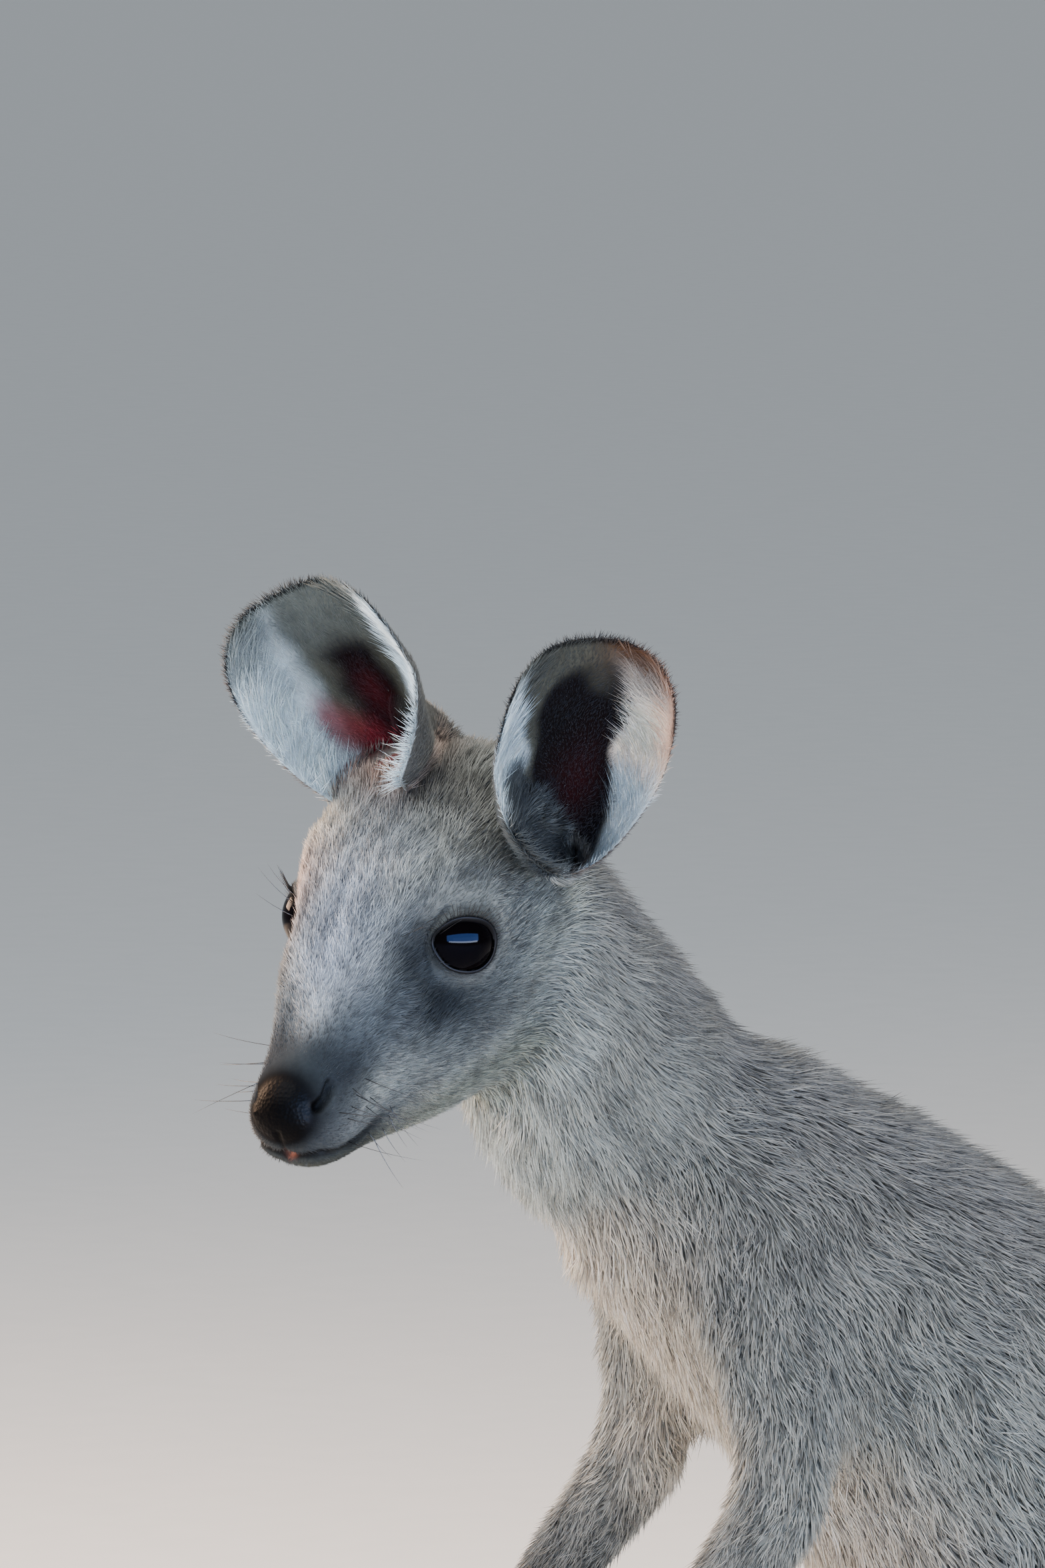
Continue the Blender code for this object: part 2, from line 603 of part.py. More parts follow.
def bottom_centre():
    """The middle of the whole animal's box at floor level."""
    bpy.context.view_layer.update()
    graph = bpy.context.evaluated_depsgraph_get()
    corners = [
        o.matrix_world @ Vector(c) for o in shown() for c in o.evaluated_get(graph).bound_box
    ]
    low = Vector(map(min, *corners))
    high = Vector(map(max, *corners))
    return Vector(((low.x + high.x) / 2, (low.y + high.y) / 2, low.z))


shift = bottom_centre()
for obj in bpy.context.scene.objects:
    obj.location -= shift
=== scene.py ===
"""The looks of a grey kangaroo joey: one skin, its eyes, claws and whiskers, and a coat of fur in tufts.

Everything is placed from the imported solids. The animal faces +X, its left side is towards +Y and the floor
is z = 0. Lengths are in metres. The solids give the outline to the tips of the coat, so the skin lies inside
them by the coat's depth, and the tufts stand on the skin and lean along the body.
"""

import math

import bmesh
import bpy
import numpy as np
from mathutils import Matrix, Vector
from mathutils.bvhtree import BVHTree


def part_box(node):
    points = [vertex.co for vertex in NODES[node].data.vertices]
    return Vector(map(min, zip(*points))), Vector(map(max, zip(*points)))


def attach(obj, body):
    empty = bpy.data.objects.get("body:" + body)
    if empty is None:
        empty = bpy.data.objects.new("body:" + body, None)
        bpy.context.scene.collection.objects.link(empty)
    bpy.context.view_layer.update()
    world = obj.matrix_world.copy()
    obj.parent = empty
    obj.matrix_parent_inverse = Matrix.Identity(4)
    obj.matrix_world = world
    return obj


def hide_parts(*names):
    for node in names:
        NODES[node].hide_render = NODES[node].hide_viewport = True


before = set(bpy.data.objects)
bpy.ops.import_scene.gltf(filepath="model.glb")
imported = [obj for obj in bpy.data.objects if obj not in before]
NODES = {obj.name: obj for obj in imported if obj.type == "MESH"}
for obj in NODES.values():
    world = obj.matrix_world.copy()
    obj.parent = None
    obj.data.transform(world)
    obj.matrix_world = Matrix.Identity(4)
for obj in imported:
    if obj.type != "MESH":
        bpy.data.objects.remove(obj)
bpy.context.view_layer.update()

# ------------------------------------------------------------------ the head's own frame
# The head is turned to the animal's left, nods and leans a little to the right. Its frame has x towards
# the nose, y to its left and z out of the crown, and starts just behind the bridge between the eyes.
SIDES = {"left": 1, "right": -1}
HEAD_TURN, HEAD_NOD, HEAD_ROLL = 34.0, 30.0, -5.6
EYE_IN_HEAD = Vector((-0.0015, 0.0207, -0.0012))


def middle(node):
    low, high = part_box(node)
    return (low + high) / 2


turned = Matrix.Rotation(math.radians(HEAD_TURN), 4, "Z")
turned @= Matrix.Rotation(math.radians(HEAD_NOD), 4, "Y")
turned @= Matrix.Rotation(math.radians(HEAD_ROLL), 4, "X")
between_eyes = (middle("eye_left") + middle("eye_right")) / 2
head_origin = between_eyes - turned.to_3x3() @ Vector((EYE_IN_HEAD.x, 0, EYE_IN_HEAD.z))
HEAD = Matrix.Translation(head_origin) @ turned
HEAD_INVERSE = HEAD.inverted()
EYE_RADIUS = (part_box("eye_left")[1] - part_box("eye_left")[0]).z / 2


def moved(points, matrix):
    """An array of points turned and shifted by a matrix."""
    full = np.array(matrix)
    return points @ full[:3, :3].T + full[:3, 3]


def turned_by(ways, matrix):
    """An array of directions turned by a matrix."""
    return ways @ np.array(matrix)[:3, :3].T


# ------------------------------------------------------------------ camera
# It looks at the joey's left cheek from a little above, from far enough away to flatten the face, and its
# view takes in the head with the neck and the top of the chest.
VIEW_AZIMUTH, VIEW_ELEVATION = math.radians(160), math.radians(5)
VIEW_DISTANCE, VIEW_HEIGHT, SENSOR = 3.0, 0.4022, 36.0
VIEW_RIGHT, VIEW_UP = 0.0354, 0.0367  # the view's middle, from the head's origin

back = Vector((
    math.sin(VIEW_AZIMUTH) * math.cos(VIEW_ELEVATION),
    -math.cos(VIEW_AZIMUTH) * math.cos(VIEW_ELEVATION),
    math.sin(VIEW_ELEVATION),
))
facing = (-back).to_track_quat("-Z", "Y")
view_right, view_up = facing @ Vector((1, 0, 0)), facing @ Vector((0, 1, 0))
aim = head_origin + view_right * VIEW_RIGHT + view_up * VIEW_UP
bpy.ops.object.camera_add(location=aim + back * VIEW_DISTANCE, rotation=facing.to_euler())
camera = bpy.context.object
camera.name = "camera"
camera.data.sensor_width = SENSOR
camera.data.lens = SENSOR * VIEW_DISTANCE / VIEW_HEIGHT
camera.data.clip_end = 200
bpy.context.scene.camera = camera


# ------------------------------------------------------------------ floor and light
# A plain pale studio floor that runs out of sight, under six soft panels: a key and a narrow cool band from
# in front, one overhead, a warm one low behind for the rims, and two long ones, blue over cream, that light
# nothing dull and only show as the bar of sky in the wet eyes.
def linear(hex_colour):
    """An sRGB colour such as "8090a0" as linear red, green and blue."""
    values = np.array([int(hex_colour[k : k + 2], 16) for k in (0, 2, 4)]) / 255
    return np.where(values <= 0.04045, values / 12.92, ((values + 0.055) / 1.055) ** 2.4)


def node(tree, kind, inputs=(), **settings):
    """Adds one node; inputs pairs a socket's name or number with a value or another node's socket."""
    made = tree.nodes.new("ShaderNode" + kind)
    for name, value in settings.items():
        setattr(made, name, value)
    for name, value in dict(inputs).items():
        if isinstance(value, bpy.types.NodeSocket):
            tree.links.new(value, made.inputs[name])
        else:
            made.inputs[name].default_value = value
    return made


def material(name, roughness, **shader_values):
    """A material with only its shader and output; returns it, its tree and its shader."""
    made = bpy.data.materials.new(name)
    made.use_nodes = True
    tree = made.node_tree
    shader = tree.nodes["Principled BSDF"]
    shader.inputs["Roughness"].default_value = roughness
    for socket, value in shader_values.items():
        shader.inputs[socket.replace("_", " ")].default_value = value
    return made, tree, shader


def panel(name, place, target, size, power, colour):
    """A soft rectangular studio light of size (width, height) at a place, aimed at a target."""
    way = Vector(target) - Vector(place)
    turn = way.to_track_quat("-Z", "Y").to_euler()
    bpy.ops.object.light_add(type="AREA", location=place, rotation=turn)
    light = bpy.context.object
    light.name = name
    light.data.shape = "RECTANGLE"
    light.data.size, light.data.size_y = size
    light.data.energy = power
    light.data.color = linear(colour)
    light.visible_camera = False
    return light


FLOOR_REACH, FLOOR_TONES = 90.0, ("e3e4e2", "ebebe9")
bpy.ops.mesh.primitive_circle_add(vertices=96, radius=FLOOR_REACH, fill_type="NGON", location=(0, 0, 0))
floor = bpy.context.object
floor.name = "studio_floor"
# Wide matt backdrop paper: it gives no gleam, only the soft shade under the animal.
paper, tree, shader = material("matt_paper_backdrop", 0.85)
coordinates = node(tree, "TexCoord")
fibres = node(tree, "TexNoise", {"Vector": coordinates.outputs["Object"], "Scale": 40, "Detail": 4})
tones = node(tree, "ValToRGB", {"Fac": fibres.outputs["Fac"]})
for stop, tone in zip(tones.color_ramp.elements, FLOOR_TONES):
    stop.color = (*linear(tone), 1)
tree.links.new(tones.outputs["Color"], shader.inputs["Base Color"])
floor.data.materials.append(paper)

world = bpy.data.worlds.new("pale_studio")
world.use_nodes = True
world.node_tree.nodes["Background"].inputs["Color"].default_value = (*linear("d5dde6"), 1)
world.node_tree.nodes["Background"].inputs["Strength"].default_value = 0.60
bpy.context.scene.world = world

level_back = Vector((back.x, back.y, 0)).normalized()
up = Vector((0, 0, 1))
for name, right_of, above, near, size, power, colour in (
    ("key_panel", -1.5, 1.5, 0.8, (1.3, 1.3), 76, "f4f7ff"),
    ("cool_band_panel", 0.9, 0.05, 1.5, (2.6, 0.42), 18, "cbdcff"),
    ("glint_panel", 0.62, 0.22, 1.5, (3.4, 0.66), 330, "86b6ff"),
    ("glint_edge_panel", 0.66, -0.12, 1.5, (2.9, 0.13), 150, "fff2e0"),
    ("overhead_panel", 0.5, 2.2, 0.1, (1.8, 1.8), 56, "fffbf4"),
    ("warm_rim_panel", -1.45, 0.7, -0.95, (0.8, 1.0), 115, "ffd4b0"),
):
    place = head_origin + view_right * right_of + up * above + level_back * near
    light = panel(name, place, head_origin, size, power, colour)
    light.visible_diffuse = not name.startswith("glint")


# ------------------------------------------------------------------ the skin's bulk
# One skin covers head, trunk, limbs and tail. The solids are melted together, finely on the face, hands
# and feet, smoothed, and drawn in under the outline by the depth of the coat at each place. The hands are
# cut back to the palm, and five short fingers reach from it to the claws.
GROW = 0.0006  # makes the melted parts overlap
HEAD_NODES = ["head", "lower_jaw", "nose"]
HAND_NODES = ["hand_" + side for side in SIDES]
FOOT_NODES = ["foot_" + side for side in SIDES]
LIMB_NODES = [part + side for part in ("thigh_", "shank_", "upper_arm_", "forearm_") for side in SIDES]
TRUNK_NODES = ["neck", "chest", "hindquarters", "tail_base", "tail_middle", "tail_end"]
EAR_NODES = ["ear_" + side for side in SIDES]
FLESH = HEAD_NODES + TRUNK_NODES + LIMB_NODES + HAND_NODES + FOOT_NODES
BULKS = (  # nodes, and the size of the cells that they are melted in
    (TRUNK_NODES[1:] + LIMB_NODES, 0.0044),
    (HEAD_NODES + TRUNK_NODES[:1], 0.00138),
    (HAND_NODES, 0.00085),
    (FOOT_NODES, 0.0021),
)
# Depth of the coat at rest over each node, and how much the node's facets are smoothed.
COAT_DEPTH = {
    "head": 0.0018, "lower_jaw": 0.0013, "nose": 0.0003, "neck": 0.0042, "chest": 0.0050,
    "hindquarters": 0.0055, "tail_base": 0.0045, "tail_middle": 0.0030, "tail_end": 0.0024,
    "thigh": 0.0045, "shank": 0.0028, "foot": 0.0010, "upper_arm": 0.0030, "forearm": 0.0022,
    "hand": 0.0004,
}
SMOOTHING = {"hand": 0.06, "foot": 0.5, "nose": 0.6}
FINGER_LONG, FINGER_THICK = 0.0105, (0.0026, 0.0020)  # clear of the palm, and radius at root and tip
FINGER_BALLS, FINGER_FAN = 10, 0.55  # balls in each, and how far apart they start, as a share of the claws
PALM_ROUNDS, PALM_FADE = 34, (0.004, 0.010)  # how much the palm is rounded, and where, off the claws
MUZZLE_FROM, NOSE_DEPTH = 0.046, 0.0007  # the coat's depth over all that is near the tip of the muzzle
FACET_ROUNDS, DEPTH_ROUNDS = 70, 30
# Where a finer mesh meets a coarser one, the step is smoothed away: how far off, how many rounds, and what
# gives way, while the rest is held.
SEAMS = (
    ("neck", "chest", 0.020, 130, ("neck", "chest")),
    ("forearm", "hand", 0.011, 160, ("hand",)),
    ("shank", "foot", 0.013, 60, ("foot",)),
)


def link(name, mesh):
    made = bpy.data.objects.new(name, mesh)
    bpy.context.scene.collection.objects.link(made)
    return made


def gathered_copy(name, nodes):
    """A copy of these nodes' shapes as one object, with their corners merged."""
    gathered = bmesh.new()
    for one in nodes:
        gathered.from_mesh(NODES[one].data)
    bmesh.ops.remove_doubles(gathered, verts=gathered.verts, dist=1e-6)
    mesh = bpy.data.meshes.new(name)
    gathered.to_mesh(mesh)
    gathered.free()
    return link(name, mesh)


def finished(obj, kind, **settings):
    """Adds a modifier to the object and applies it."""
    step = obj.modifiers.new(kind.lower(), kind)
    for name, value in settings.items():
        setattr(step, name, value)
    bpy.ops.object.select_all(action="DESELECT")
    obj.select_set(True)
    bpy.context.view_layer.objects.active = obj
    bpy.ops.object.modifier_apply(modifier=step.name)


def joined(obj, other):
    """Joins a second closed shape to the first."""
    finished(obj, "BOOLEAN", operation="UNION", object=other, solver="MANIFOLD")
    bpy.data.objects.remove(other)


def points_of(mesh):
    found = np.empty(len(mesh.vertices) * 3, np.float32)
    mesh.vertices.foreach_get("co", found)
    return found.reshape(-1, 3).astype(float)


def normals_of(mesh):
    found = np.empty(len(mesh.vertices) * 3, np.float32)
    mesh.vertex_normals.foreach_get("vector", found)
    return found.reshape(-1, 3).astype(float)


def edges_of(mesh):
    found = np.empty(len(mesh.edges) * 2, np.int32)
    mesh.edges.foreach_get("vertices", found)
    return found.reshape(-1, 2)


def move_points(mesh, points):
    mesh.vertices.foreach_set("co", points.astype(np.float32).ravel())
    mesh.update()


def spread(values, edges, rounds, share=0.5):
    """Values at the points of a mesh, mixed with their neighbours' a number of times."""
    one, two = edges[:, 0], edges[:, 1]
    count = len(values)
    share = share / np.maximum(np.bincount(edges.ravel(), minlength=count), 1)
    for _ in range(rounds):
        columns = []
        for k in range(values.shape[1]):
            v = values[:, k]
            gained = np.bincount(one, v[two] - v[one], count) + np.bincount(two, v[one] - v[two], count)
            columns.append(v + gained * share)
        values = np.stack(columns, 1)
    return values


def eased(values, start, end):
    """0 up to start and 1 from end, easing between; start may be above end."""
    t = np.clip((values - start) / (end - start), 0, 1)
    return t * t * (3 - 2 * t)


def nearest_nodes(points, nodes):
    """The name of the node nearest to each point, without its side."""
    corners, faces, owners = [], [], []
    for one in nodes:
        mesh = NODES[one].data
        start = len(corners)
        corners += [v.co for v in mesh.vertices]
        faces += [[start + k for k in p.vertices] for p in mesh.polygons]
        owners += [one.removesuffix("_left").removesuffix("_right")] * len(mesh.polygons)
    tree = BVHTree.FromPolygons(corners, faces)
    return np.array([owners[tree.find_nearest(p)[2]] for p in points.tolist()])


def claw_root(name):
    """The middle of a claw's thick end."""
    corners = np.array([v.co for v in NODES[name].data.vertices])
    centre = corners.mean(0)
    along = np.linalg.svd(corners - centre)[2][0]
    share = (corners - centre) @ along
    ends = [corners[share * sign > 0.6 * (share * sign).max()] for sign in (1, -1)]
    return max(ends, key=lambda end: np.linalg.norm(end - end.mean(0), axis=1).mean()).mean(0)


CLAW_ROOTS = {side: np.array([claw_root(f"claw_finger_{k}_{side}") for k in range(1, 6)]) for side in SIDES}


def fingers_cut(hands):
    """Cuts the solid hands back to the palm and gives each five fingers, as rows of balls up to the claws."""
    shaped = bmesh.new()
    shaped.from_mesh(hands.data)
    for side in SIDES:
        roots = CLAW_ROOTS[side]
        knuckle = Vector(roots.mean(0))
        way = (knuckle - middle("hand_" + side)).normalized()
        cut = knuckle - way * (FINGER_LONG - 0.001)  # a little of each finger's root is in the palm
        here = [v for v in shaped.verts if v.co.y * SIDES[side] > 0]
        here += [e for e in shaped.edges if e.verts[0].co.y * SIDES[side] > 0]
        here += [f for f in shaped.faces if f.verts[0].co.y * SIDES[side] > 0]
        bmesh.ops.bisect_plane(shaped, geom=here, plane_co=cut, plane_no=way, clear_outer=True)
        bmesh.ops.holes_fill(shaped, edges=[e for e in shaped.edges if e.is_boundary])
        for root in roots:
            tip = Vector(root) - way * 0.0002
            start = knuckle - way * FINGER_LONG + (tip - knuckle) * FINGER_FAN
            for step in np.linspace(0, 1, FINGER_BALLS):
                radius = FINGER_THICK[0] + (FINGER_THICK[1] - FINGER_THICK[0]) * step
                place = Matrix.Translation(start.lerp(tip, step))
                bmesh.ops.create_icosphere(shaped, subdivisions=2, radius=radius, matrix=place)
    shaped.to_mesh(hands.data)
    shaped.free()


parts = []
for number, (nodes, cell) in enumerate(BULKS):
    part = gathered_copy(f"bulk_{number}", nodes)
    if nodes == HAND_NODES:
        fingers_cut(part)
    finished(part, "REMESH", mode="VOXEL", voxel_size=cell)
    if nodes == HAND_NODES:  # the palms are rounded, and the fingers are left as they are
        shape = points_of(part.data)
        claws = np.concatenate(list(CLAW_ROOTS.values()))
        off = np.linalg.norm(shape[:, None] - claws, axis=2).min(1)[:, None]
        shape += (spread(shape, edges_of(part.data), PALM_ROUNDS) - shape) * eased(off, *PALM_FADE)
        move_points(part.data, shape)
    move_points(part.data, points_of(part.data) + normals_of(part.data) * GROW)
    parts.append(part)
skin = parts[0]
for part in parts[1:]:
    joined(skin, part)
skin.name = "skin"

outline = BVHTree.FromObject(skin, bpy.context.evaluated_depsgraph_get())
points, edges = points_of(skin.data), edges_of(skin.data)
owner = nearest_nodes(points, FLESH)
depth = np.array([COAT_DEPTH[name] for name in owner])
forward = moved(points, HEAD_INVERSE)[:, 0]
depth = np.where(np.isin(owner, HEAD_NODES) & (forward > MUZZLE_FROM), np.minimum(depth, NOSE_DEPTH), depth)
depth = spread(depth[:, None], edges, DEPTH_ROUNDS)[:, 0]
looseness = np.array([SMOOTHING.get(name, 1.0) for name in owner])
points = spread(points, edges, FACET_ROUNDS, 0.5 * looseness)
move_points(skin.data, points)
for _ in range(2):
    normals = normals_of(skin.data)
    off = np.empty(len(points))
    for k, p in enumerate(points.tolist()):
        place, face_normal, _, distance = outline.find_nearest(p)
        off[k] = math.copysign(distance, (Vector(p) - place).dot(face_normal))
    wanted = spread((-(GROW + depth) - off)[:, None], edges, DEPTH_ROUNDS)
    points = points + normals * wanted
    move_points(skin.data, points)
for one, other, reach, rounds, loose in SEAMS:
    first, second = owner[edges[:, 0]], owner[edges[:, 1]]
    seam = np.unique(edges[((first == one) & (second == other)) | ((first == other) & (second == one))])
    near_seam = BVHTree.FromPolygons(points[seam].tolist(), [(k, k, k) for k in range(len(seam))])
    reached = np.array([near_seam.find_nearest(p, reach)[0] is not None for p in points.tolist()])
    points = spread(points, edges, rounds, 0.5 * (reached & np.isin(owner, loose)))
move_points(skin.data, points)

# ------------------------------------------------------------------ ears
# Each ear is a leaf of gristle and skin bent round a deep hollow, wide and blunt at the tip. Its inner edge
# curls round the hollow's mouth at the root. It is the solid ear's own shape, thinner by its short fur.
EAR_LENGTH, EAR_LEAF = 0.067, 0.0265  # root to tip, and half the width of the ear laid flat
EAR_WALL = 0.0022  # of the solid ear, coat and all
EAR_COAT = 0.00065
EAR_END = 0.985  # of its length and of its width, where the skin inside the short fur ends
EAR_ROOTED, EAR_SINK = 0.22, 0.020  # how far the ear runs on into the head, and how fast it narrows there
EAR_BEND = (0.0070, 0.027)  # the hollow's radius at the root, and from the middle to the tip
EAR_LEAN, EAR_CLOSED = -0.004, math.radians(150)
EAR_CURL = {-1: 0.75, 1: 1.4}  # how far the inner edge of the left and of the right ear curls
EAR_SET = {  # in the head's frame: root, the way it points, the way its hollow faces
    "left": ((-0.0430, 0.0266, 0.0046), (0, 0.417, 0.909), (0.71, 0.68, -0.18)),
    "right": ((-0.0430, -0.0146, 0.0114), (0.154, -0.288, 0.945), (0.88, 0.45, 0.09)),
}


def ear_frame(side):
    """The ear's own frame: from its root, x out of the hollow's mouth and z towards the tip."""
    root, way, facing_way = (Vector(v) for v in EAR_SET[side])
    way.normalize()
    out = (facing_way - way * facing_way.dot(way)).normalized()
    turn = Matrix((out, way.cross(out), way)).transposed().to_4x4()
    return HEAD @ Matrix.Translation(root) @ turn


def ear_bend(u, inner_side):
    """At u from root to tip: the hollow's radius, how far back it leans, and the wrap of its two halves."""
    sunk, u = np.minimum(u, 0), np.maximum(u, 0)
    base = 0.72 + 0.28 * np.sin(np.minimum(u / 0.55, 1) * math.pi / 2) ** 1.4
    tip = 1 - (np.maximum(u - 0.50, 0) / 0.50) ** 4
    leaf = EAR_LEAF * base * np.maximum(tip, 0) ** 0.42
    radius = EAR_BEND[0] + (EAR_BEND[1] - EAR_BEND[0]) * np.minimum(u / 0.62, 1) ** 0.9 + EAR_SINK * sunk
    wrap = np.maximum(leaf, EAR_WALL) / radius
    inner = np.maximum(wrap, np.minimum(wrap * (1 + EAR_CURL[inner_side] * (1 - u)), EAR_CLOSED))
    return radius, EAR_LEAN * u**2, wrap, inner


def mesh_object(name, points, faces):
    """A mesh object of an array of points and an array of faces that all have as many corners."""
    mesh = bpy.data.meshes.new(name)
    mesh.vertices.add(len(points))
    mesh.vertices.foreach_set("co", np.ascontiguousarray(points, np.float32).ravel())
    mesh.loops.add(faces.size)
    mesh.loops.foreach_set("vertex_index", np.ascontiguousarray(faces, np.int32).ravel())
    mesh.polygons.add(len(faces))
    mesh.polygons.foreach_set("loop_start", np.arange(0, faces.size, faces.shape[1], dtype=np.int32))
    mesh.update(calc_edges=True)
    mesh.shade_smooth()
    return link(name, mesh)


def ear_skin(side, rows=56, columns=56):
    """The ear as a closed bent sheet in the head, thinner than the solid one all round."""
    inner_side = -SIDES[side]
    i, j = np.meshgrid(np.arange(rows + 1), np.arange(columns + 1), indexing="ij")
    u = np.sin(i / rows * math.pi / 2) ** 0.9 * (EAR_END + EAR_ROOTED) - EAR_ROOTED
    t = (2 * j / columns - 1) * EAR_END
    radius, lean, wrap, inner = ear_bend(u, inner_side)
    angle = t * np.where(t * inner_side > 0, inner, wrap)
    sheets = []
    for sheet_depth in (EAR_COAT, EAR_WALL - EAR_COAT):
        r = radius + sheet_depth * (1 - 0.35 * np.abs(t) ** 3)
        sheets.append(np.stack([radius - r * np.cos(angle) + lean, r * np.sin(angle), u * EAR_LENGTH], -1))
    points = np.concatenate([s.reshape(-1, 3) for s in sheets])
    k = np.arange((rows + 1) * (columns + 1)).reshape(rows + 1, columns + 1)
    far = k + k.size
    quads = np.stack([k[:-1, :-1], k[:-1, 1:], k[1:, 1:], k[1:, :-1]], -1).reshape(-1, 4)
    outer = np.stack([far[:-1, :-1], far[1:, :-1], far[1:, 1:], far[:-1, 1:]], -1).reshape(-1, 4)
    rim = np.concatenate([k[:-1, 0], k[-1, :-1], k[:0:-1, -1], k[0, :0:-1]])
    after = np.roll(rim, -1)
    edge = np.stack([rim, after, after + k.size, rim + k.size], -1)
    faces = np.concatenate([quads, outer, edge])
    made = mesh_object("ear_skin_" + side, moved(points, ear_frame(side)), faces)
    checked = bmesh.new()
    checked.from_mesh(made.data)
    bmesh.ops.recalc_face_normals(checked, faces=checked.faces)
    checked.to_mesh(made.data)
    checked.free()
    return made


# Flesh backs each ear's root, towards the crown: an egg of it, placed and sized along the ear.
EAR_FLESH = {"left": ((-0.0465, 0.0225, 0.0130), (0.0085, 0.0070, 0.0150)),
             "right": ((-0.0455, -0.0070, 0.0255), (0.0070, 0.0062, 0.0180))}
for side in SIDES:
    joined(skin, ear_skin(side))
    place, reach = EAR_FLESH[side]
    bpy.ops.object.select_all(action="DESELECT")
    bpy.ops.mesh.primitive_ico_sphere_add(subdivisions=4, radius=1)
    flesh = bpy.context.object
    turn = ear_frame(side).to_3x3().normalized().to_4x4()
    flesh.matrix_world = Matrix.Translation(HEAD @ Vector(place)) @ turn @ Matrix.Diagonal((*reach, 1))
    bpy.context.view_layer.update()
    bpy.ops.object.transform_apply(location=True, rotation=True, scale=True)
    joined(skin, flesh)

# ------------------------------------------------------------------ lids, nostrils and mouth
# The skin is refined round the eyes and the nose and then shaped: lids that hug the eyeballs round a nearly
# round opening, comma-shaped nostrils, the cleft under the nose and the line of the mouth.
LID_WAY, LID_FRONT = (0.500, 0.832, 0.239), (0.649, -0.585, 0.4835)  # on the left, in the head's frame
LID_WIDE, LID_HIGH = math.radians(45.0), math.radians(38.0)  # half the opening, seen from the ball's middle
LID_CORNER, LID_CORNER_REACH = 0.20, math.radians(22)  # how far the front corner is drawn out
LID_SQUARE = 2.35  # 2 would be a plain oval
LID_THICK = 0.0007
SNAP = math.radians(3.6)  # points this near to a lid's edge are moved onto it
LID_RISE = (math.radians(3), math.radians(36))  # past the edge, where the lids rise to the cheek and brow
LID_LAST = 1.9  # the angle past which the lids change nothing
LID_FOLD, LID_FOLD_FAR, LID_FOLD_ROUNDS = (math.radians(6), math.radians(18)), (0.0225, 0.0170), 140
EYE_ROOM, LID_ROOM, FACE_ROOM = 0.0175, 0.0150, 0.0185
SOCKET_FILL, SOCKET_SINK = EYE_RADIUS + 0.0020, 0.0015
FINE_EDGE, FACE_ROUNDS, EYE_ROUNDS = 0.0005, 3, 14
ORBIT_PLACE, ORBIT_REACH, ORBIT_DEPTH = (0.0120, 0.0205, 0.0065), (0.0085, 0.0075, 0.0062), 0.0042
NOSTRIL = [(0.0490, 0.0118, -0.0124), (0.0525, 0.0114, -0.0145), (0.0552, 0.0100, -0.0158)]
CLEFT = [(0.0615, 0, -0.0215), (0.0600, 0, -0.0250), (0.0584, 0, -0.0284)]
TEAR_DUCT = [(0.0080, 0.0235, 0.0028), (0.0114, 0.0216, 0.0008)]
MOUTH = [(0.0584, 0, -0.0284), (0.0555, 0.0070, -0.0270), (0.0480, 0.0125, -0.0300),
         (0.0400, 0.0155, -0.0312), (0.0300, 0.0185, -0.0325)]
# How deep and how wide these are cut, and the swellings over the nostril and under the mouth.
CLEFT_CUT, NOSTRIL_CUT, MOUTH_CUT = (0.0007, 0.0008), (0.0032, 0.0013), (0.0013, 0.0010)
NOSTRIL_WING, WING_ABOVE = (0.0009, 0.0016), np.array([0, 0, 0.0022])
LOWER_LIP, LIP_BELOW = (0.0005, 0.0016), np.array([0, 0, -0.0024])
NOSE_MIDDLE = Vector((0.0625, 0, -0.0150))
NOSE_SOFT, NOSE_ROUNDS = (0.052, 0, -0.009), 130


def mirrored(values, side):
    """Places or ways in the head's frame, as they are on the given side."""
    return np.array(values, float) * np.array([1, SIDES[side], 1])


def hump(points, place, reach):
    """1 at a place and falling off smoothly round it; reach is one number or one for each axis."""
    return np.exp(-(((points - np.array(place)) / np.array(reach)) ** 2).sum(-1))


def line_distance(points, line):
    """How far each point is from an open line of straight pieces, and how far along it, from 0 to 1."""
    line = np.array(line, float)
    best, share = np.full(len(points), 1e9), np.zeros(len(points))
    for k, (a, b) in enumerate(zip(line, line[1:])):
        t = np.clip((points - a) @ (b - a) / ((b - a) @ (b - a)), 0, 1)
        gap = np.linalg.norm(points - a - t[:, None] * (b - a), axis=1)
        closer = gap < best
        best[closer] = gap[closer]
        share[closer] = ((k + t) / (len(line) - 1))[closer]
    return best, share


def lid_angles(points, side):
    """Points in the head's frame, seen from the ball's middle: distance, angle off the opening's middle,
    and the way round it, from 0 at the front through 90 degrees at the top."""
    offset = points - mirrored(EYE_IN_HEAD, side)
    far = np.linalg.norm(offset, axis=1)
    way = mirrored(LID_WAY, side)
    way /= np.linalg.norm(way)
    front = mirrored(LID_FRONT, side)
    front -= way * (front @ way)
    front /= np.linalg.norm(front)
    top = np.cross(way, front) * -SIDES[side]
    off = np.arccos(np.clip(offset @ way / np.maximum(far, 1e-9), -1, 1))
    return far, off, np.arctan2(offset @ top, offset @ front), (way, front, top)


def lid_edge(around):
    """Half the lids' opening at an angle round it."""
    across, upright = np.abs(np.cos(around)) / LID_WIDE, np.abs(np.sin(around)) / LID_HIGH
    oval = (across**LID_SQUARE + upright**LID_SQUARE) ** (-1 / LID_SQUARE)
    return oval * (1 + LID_CORNER * np.exp(-((around / LID_CORNER_REACH) ** 2)))


def in_head(points):
    return moved(points, HEAD_INVERSE)


def both_alike(places):
    """Places in the head's frame with its right half laid over its left."""
    return places * np.array([1, 0, 1]) + np.abs(places) * np.array([0, 1, 0])


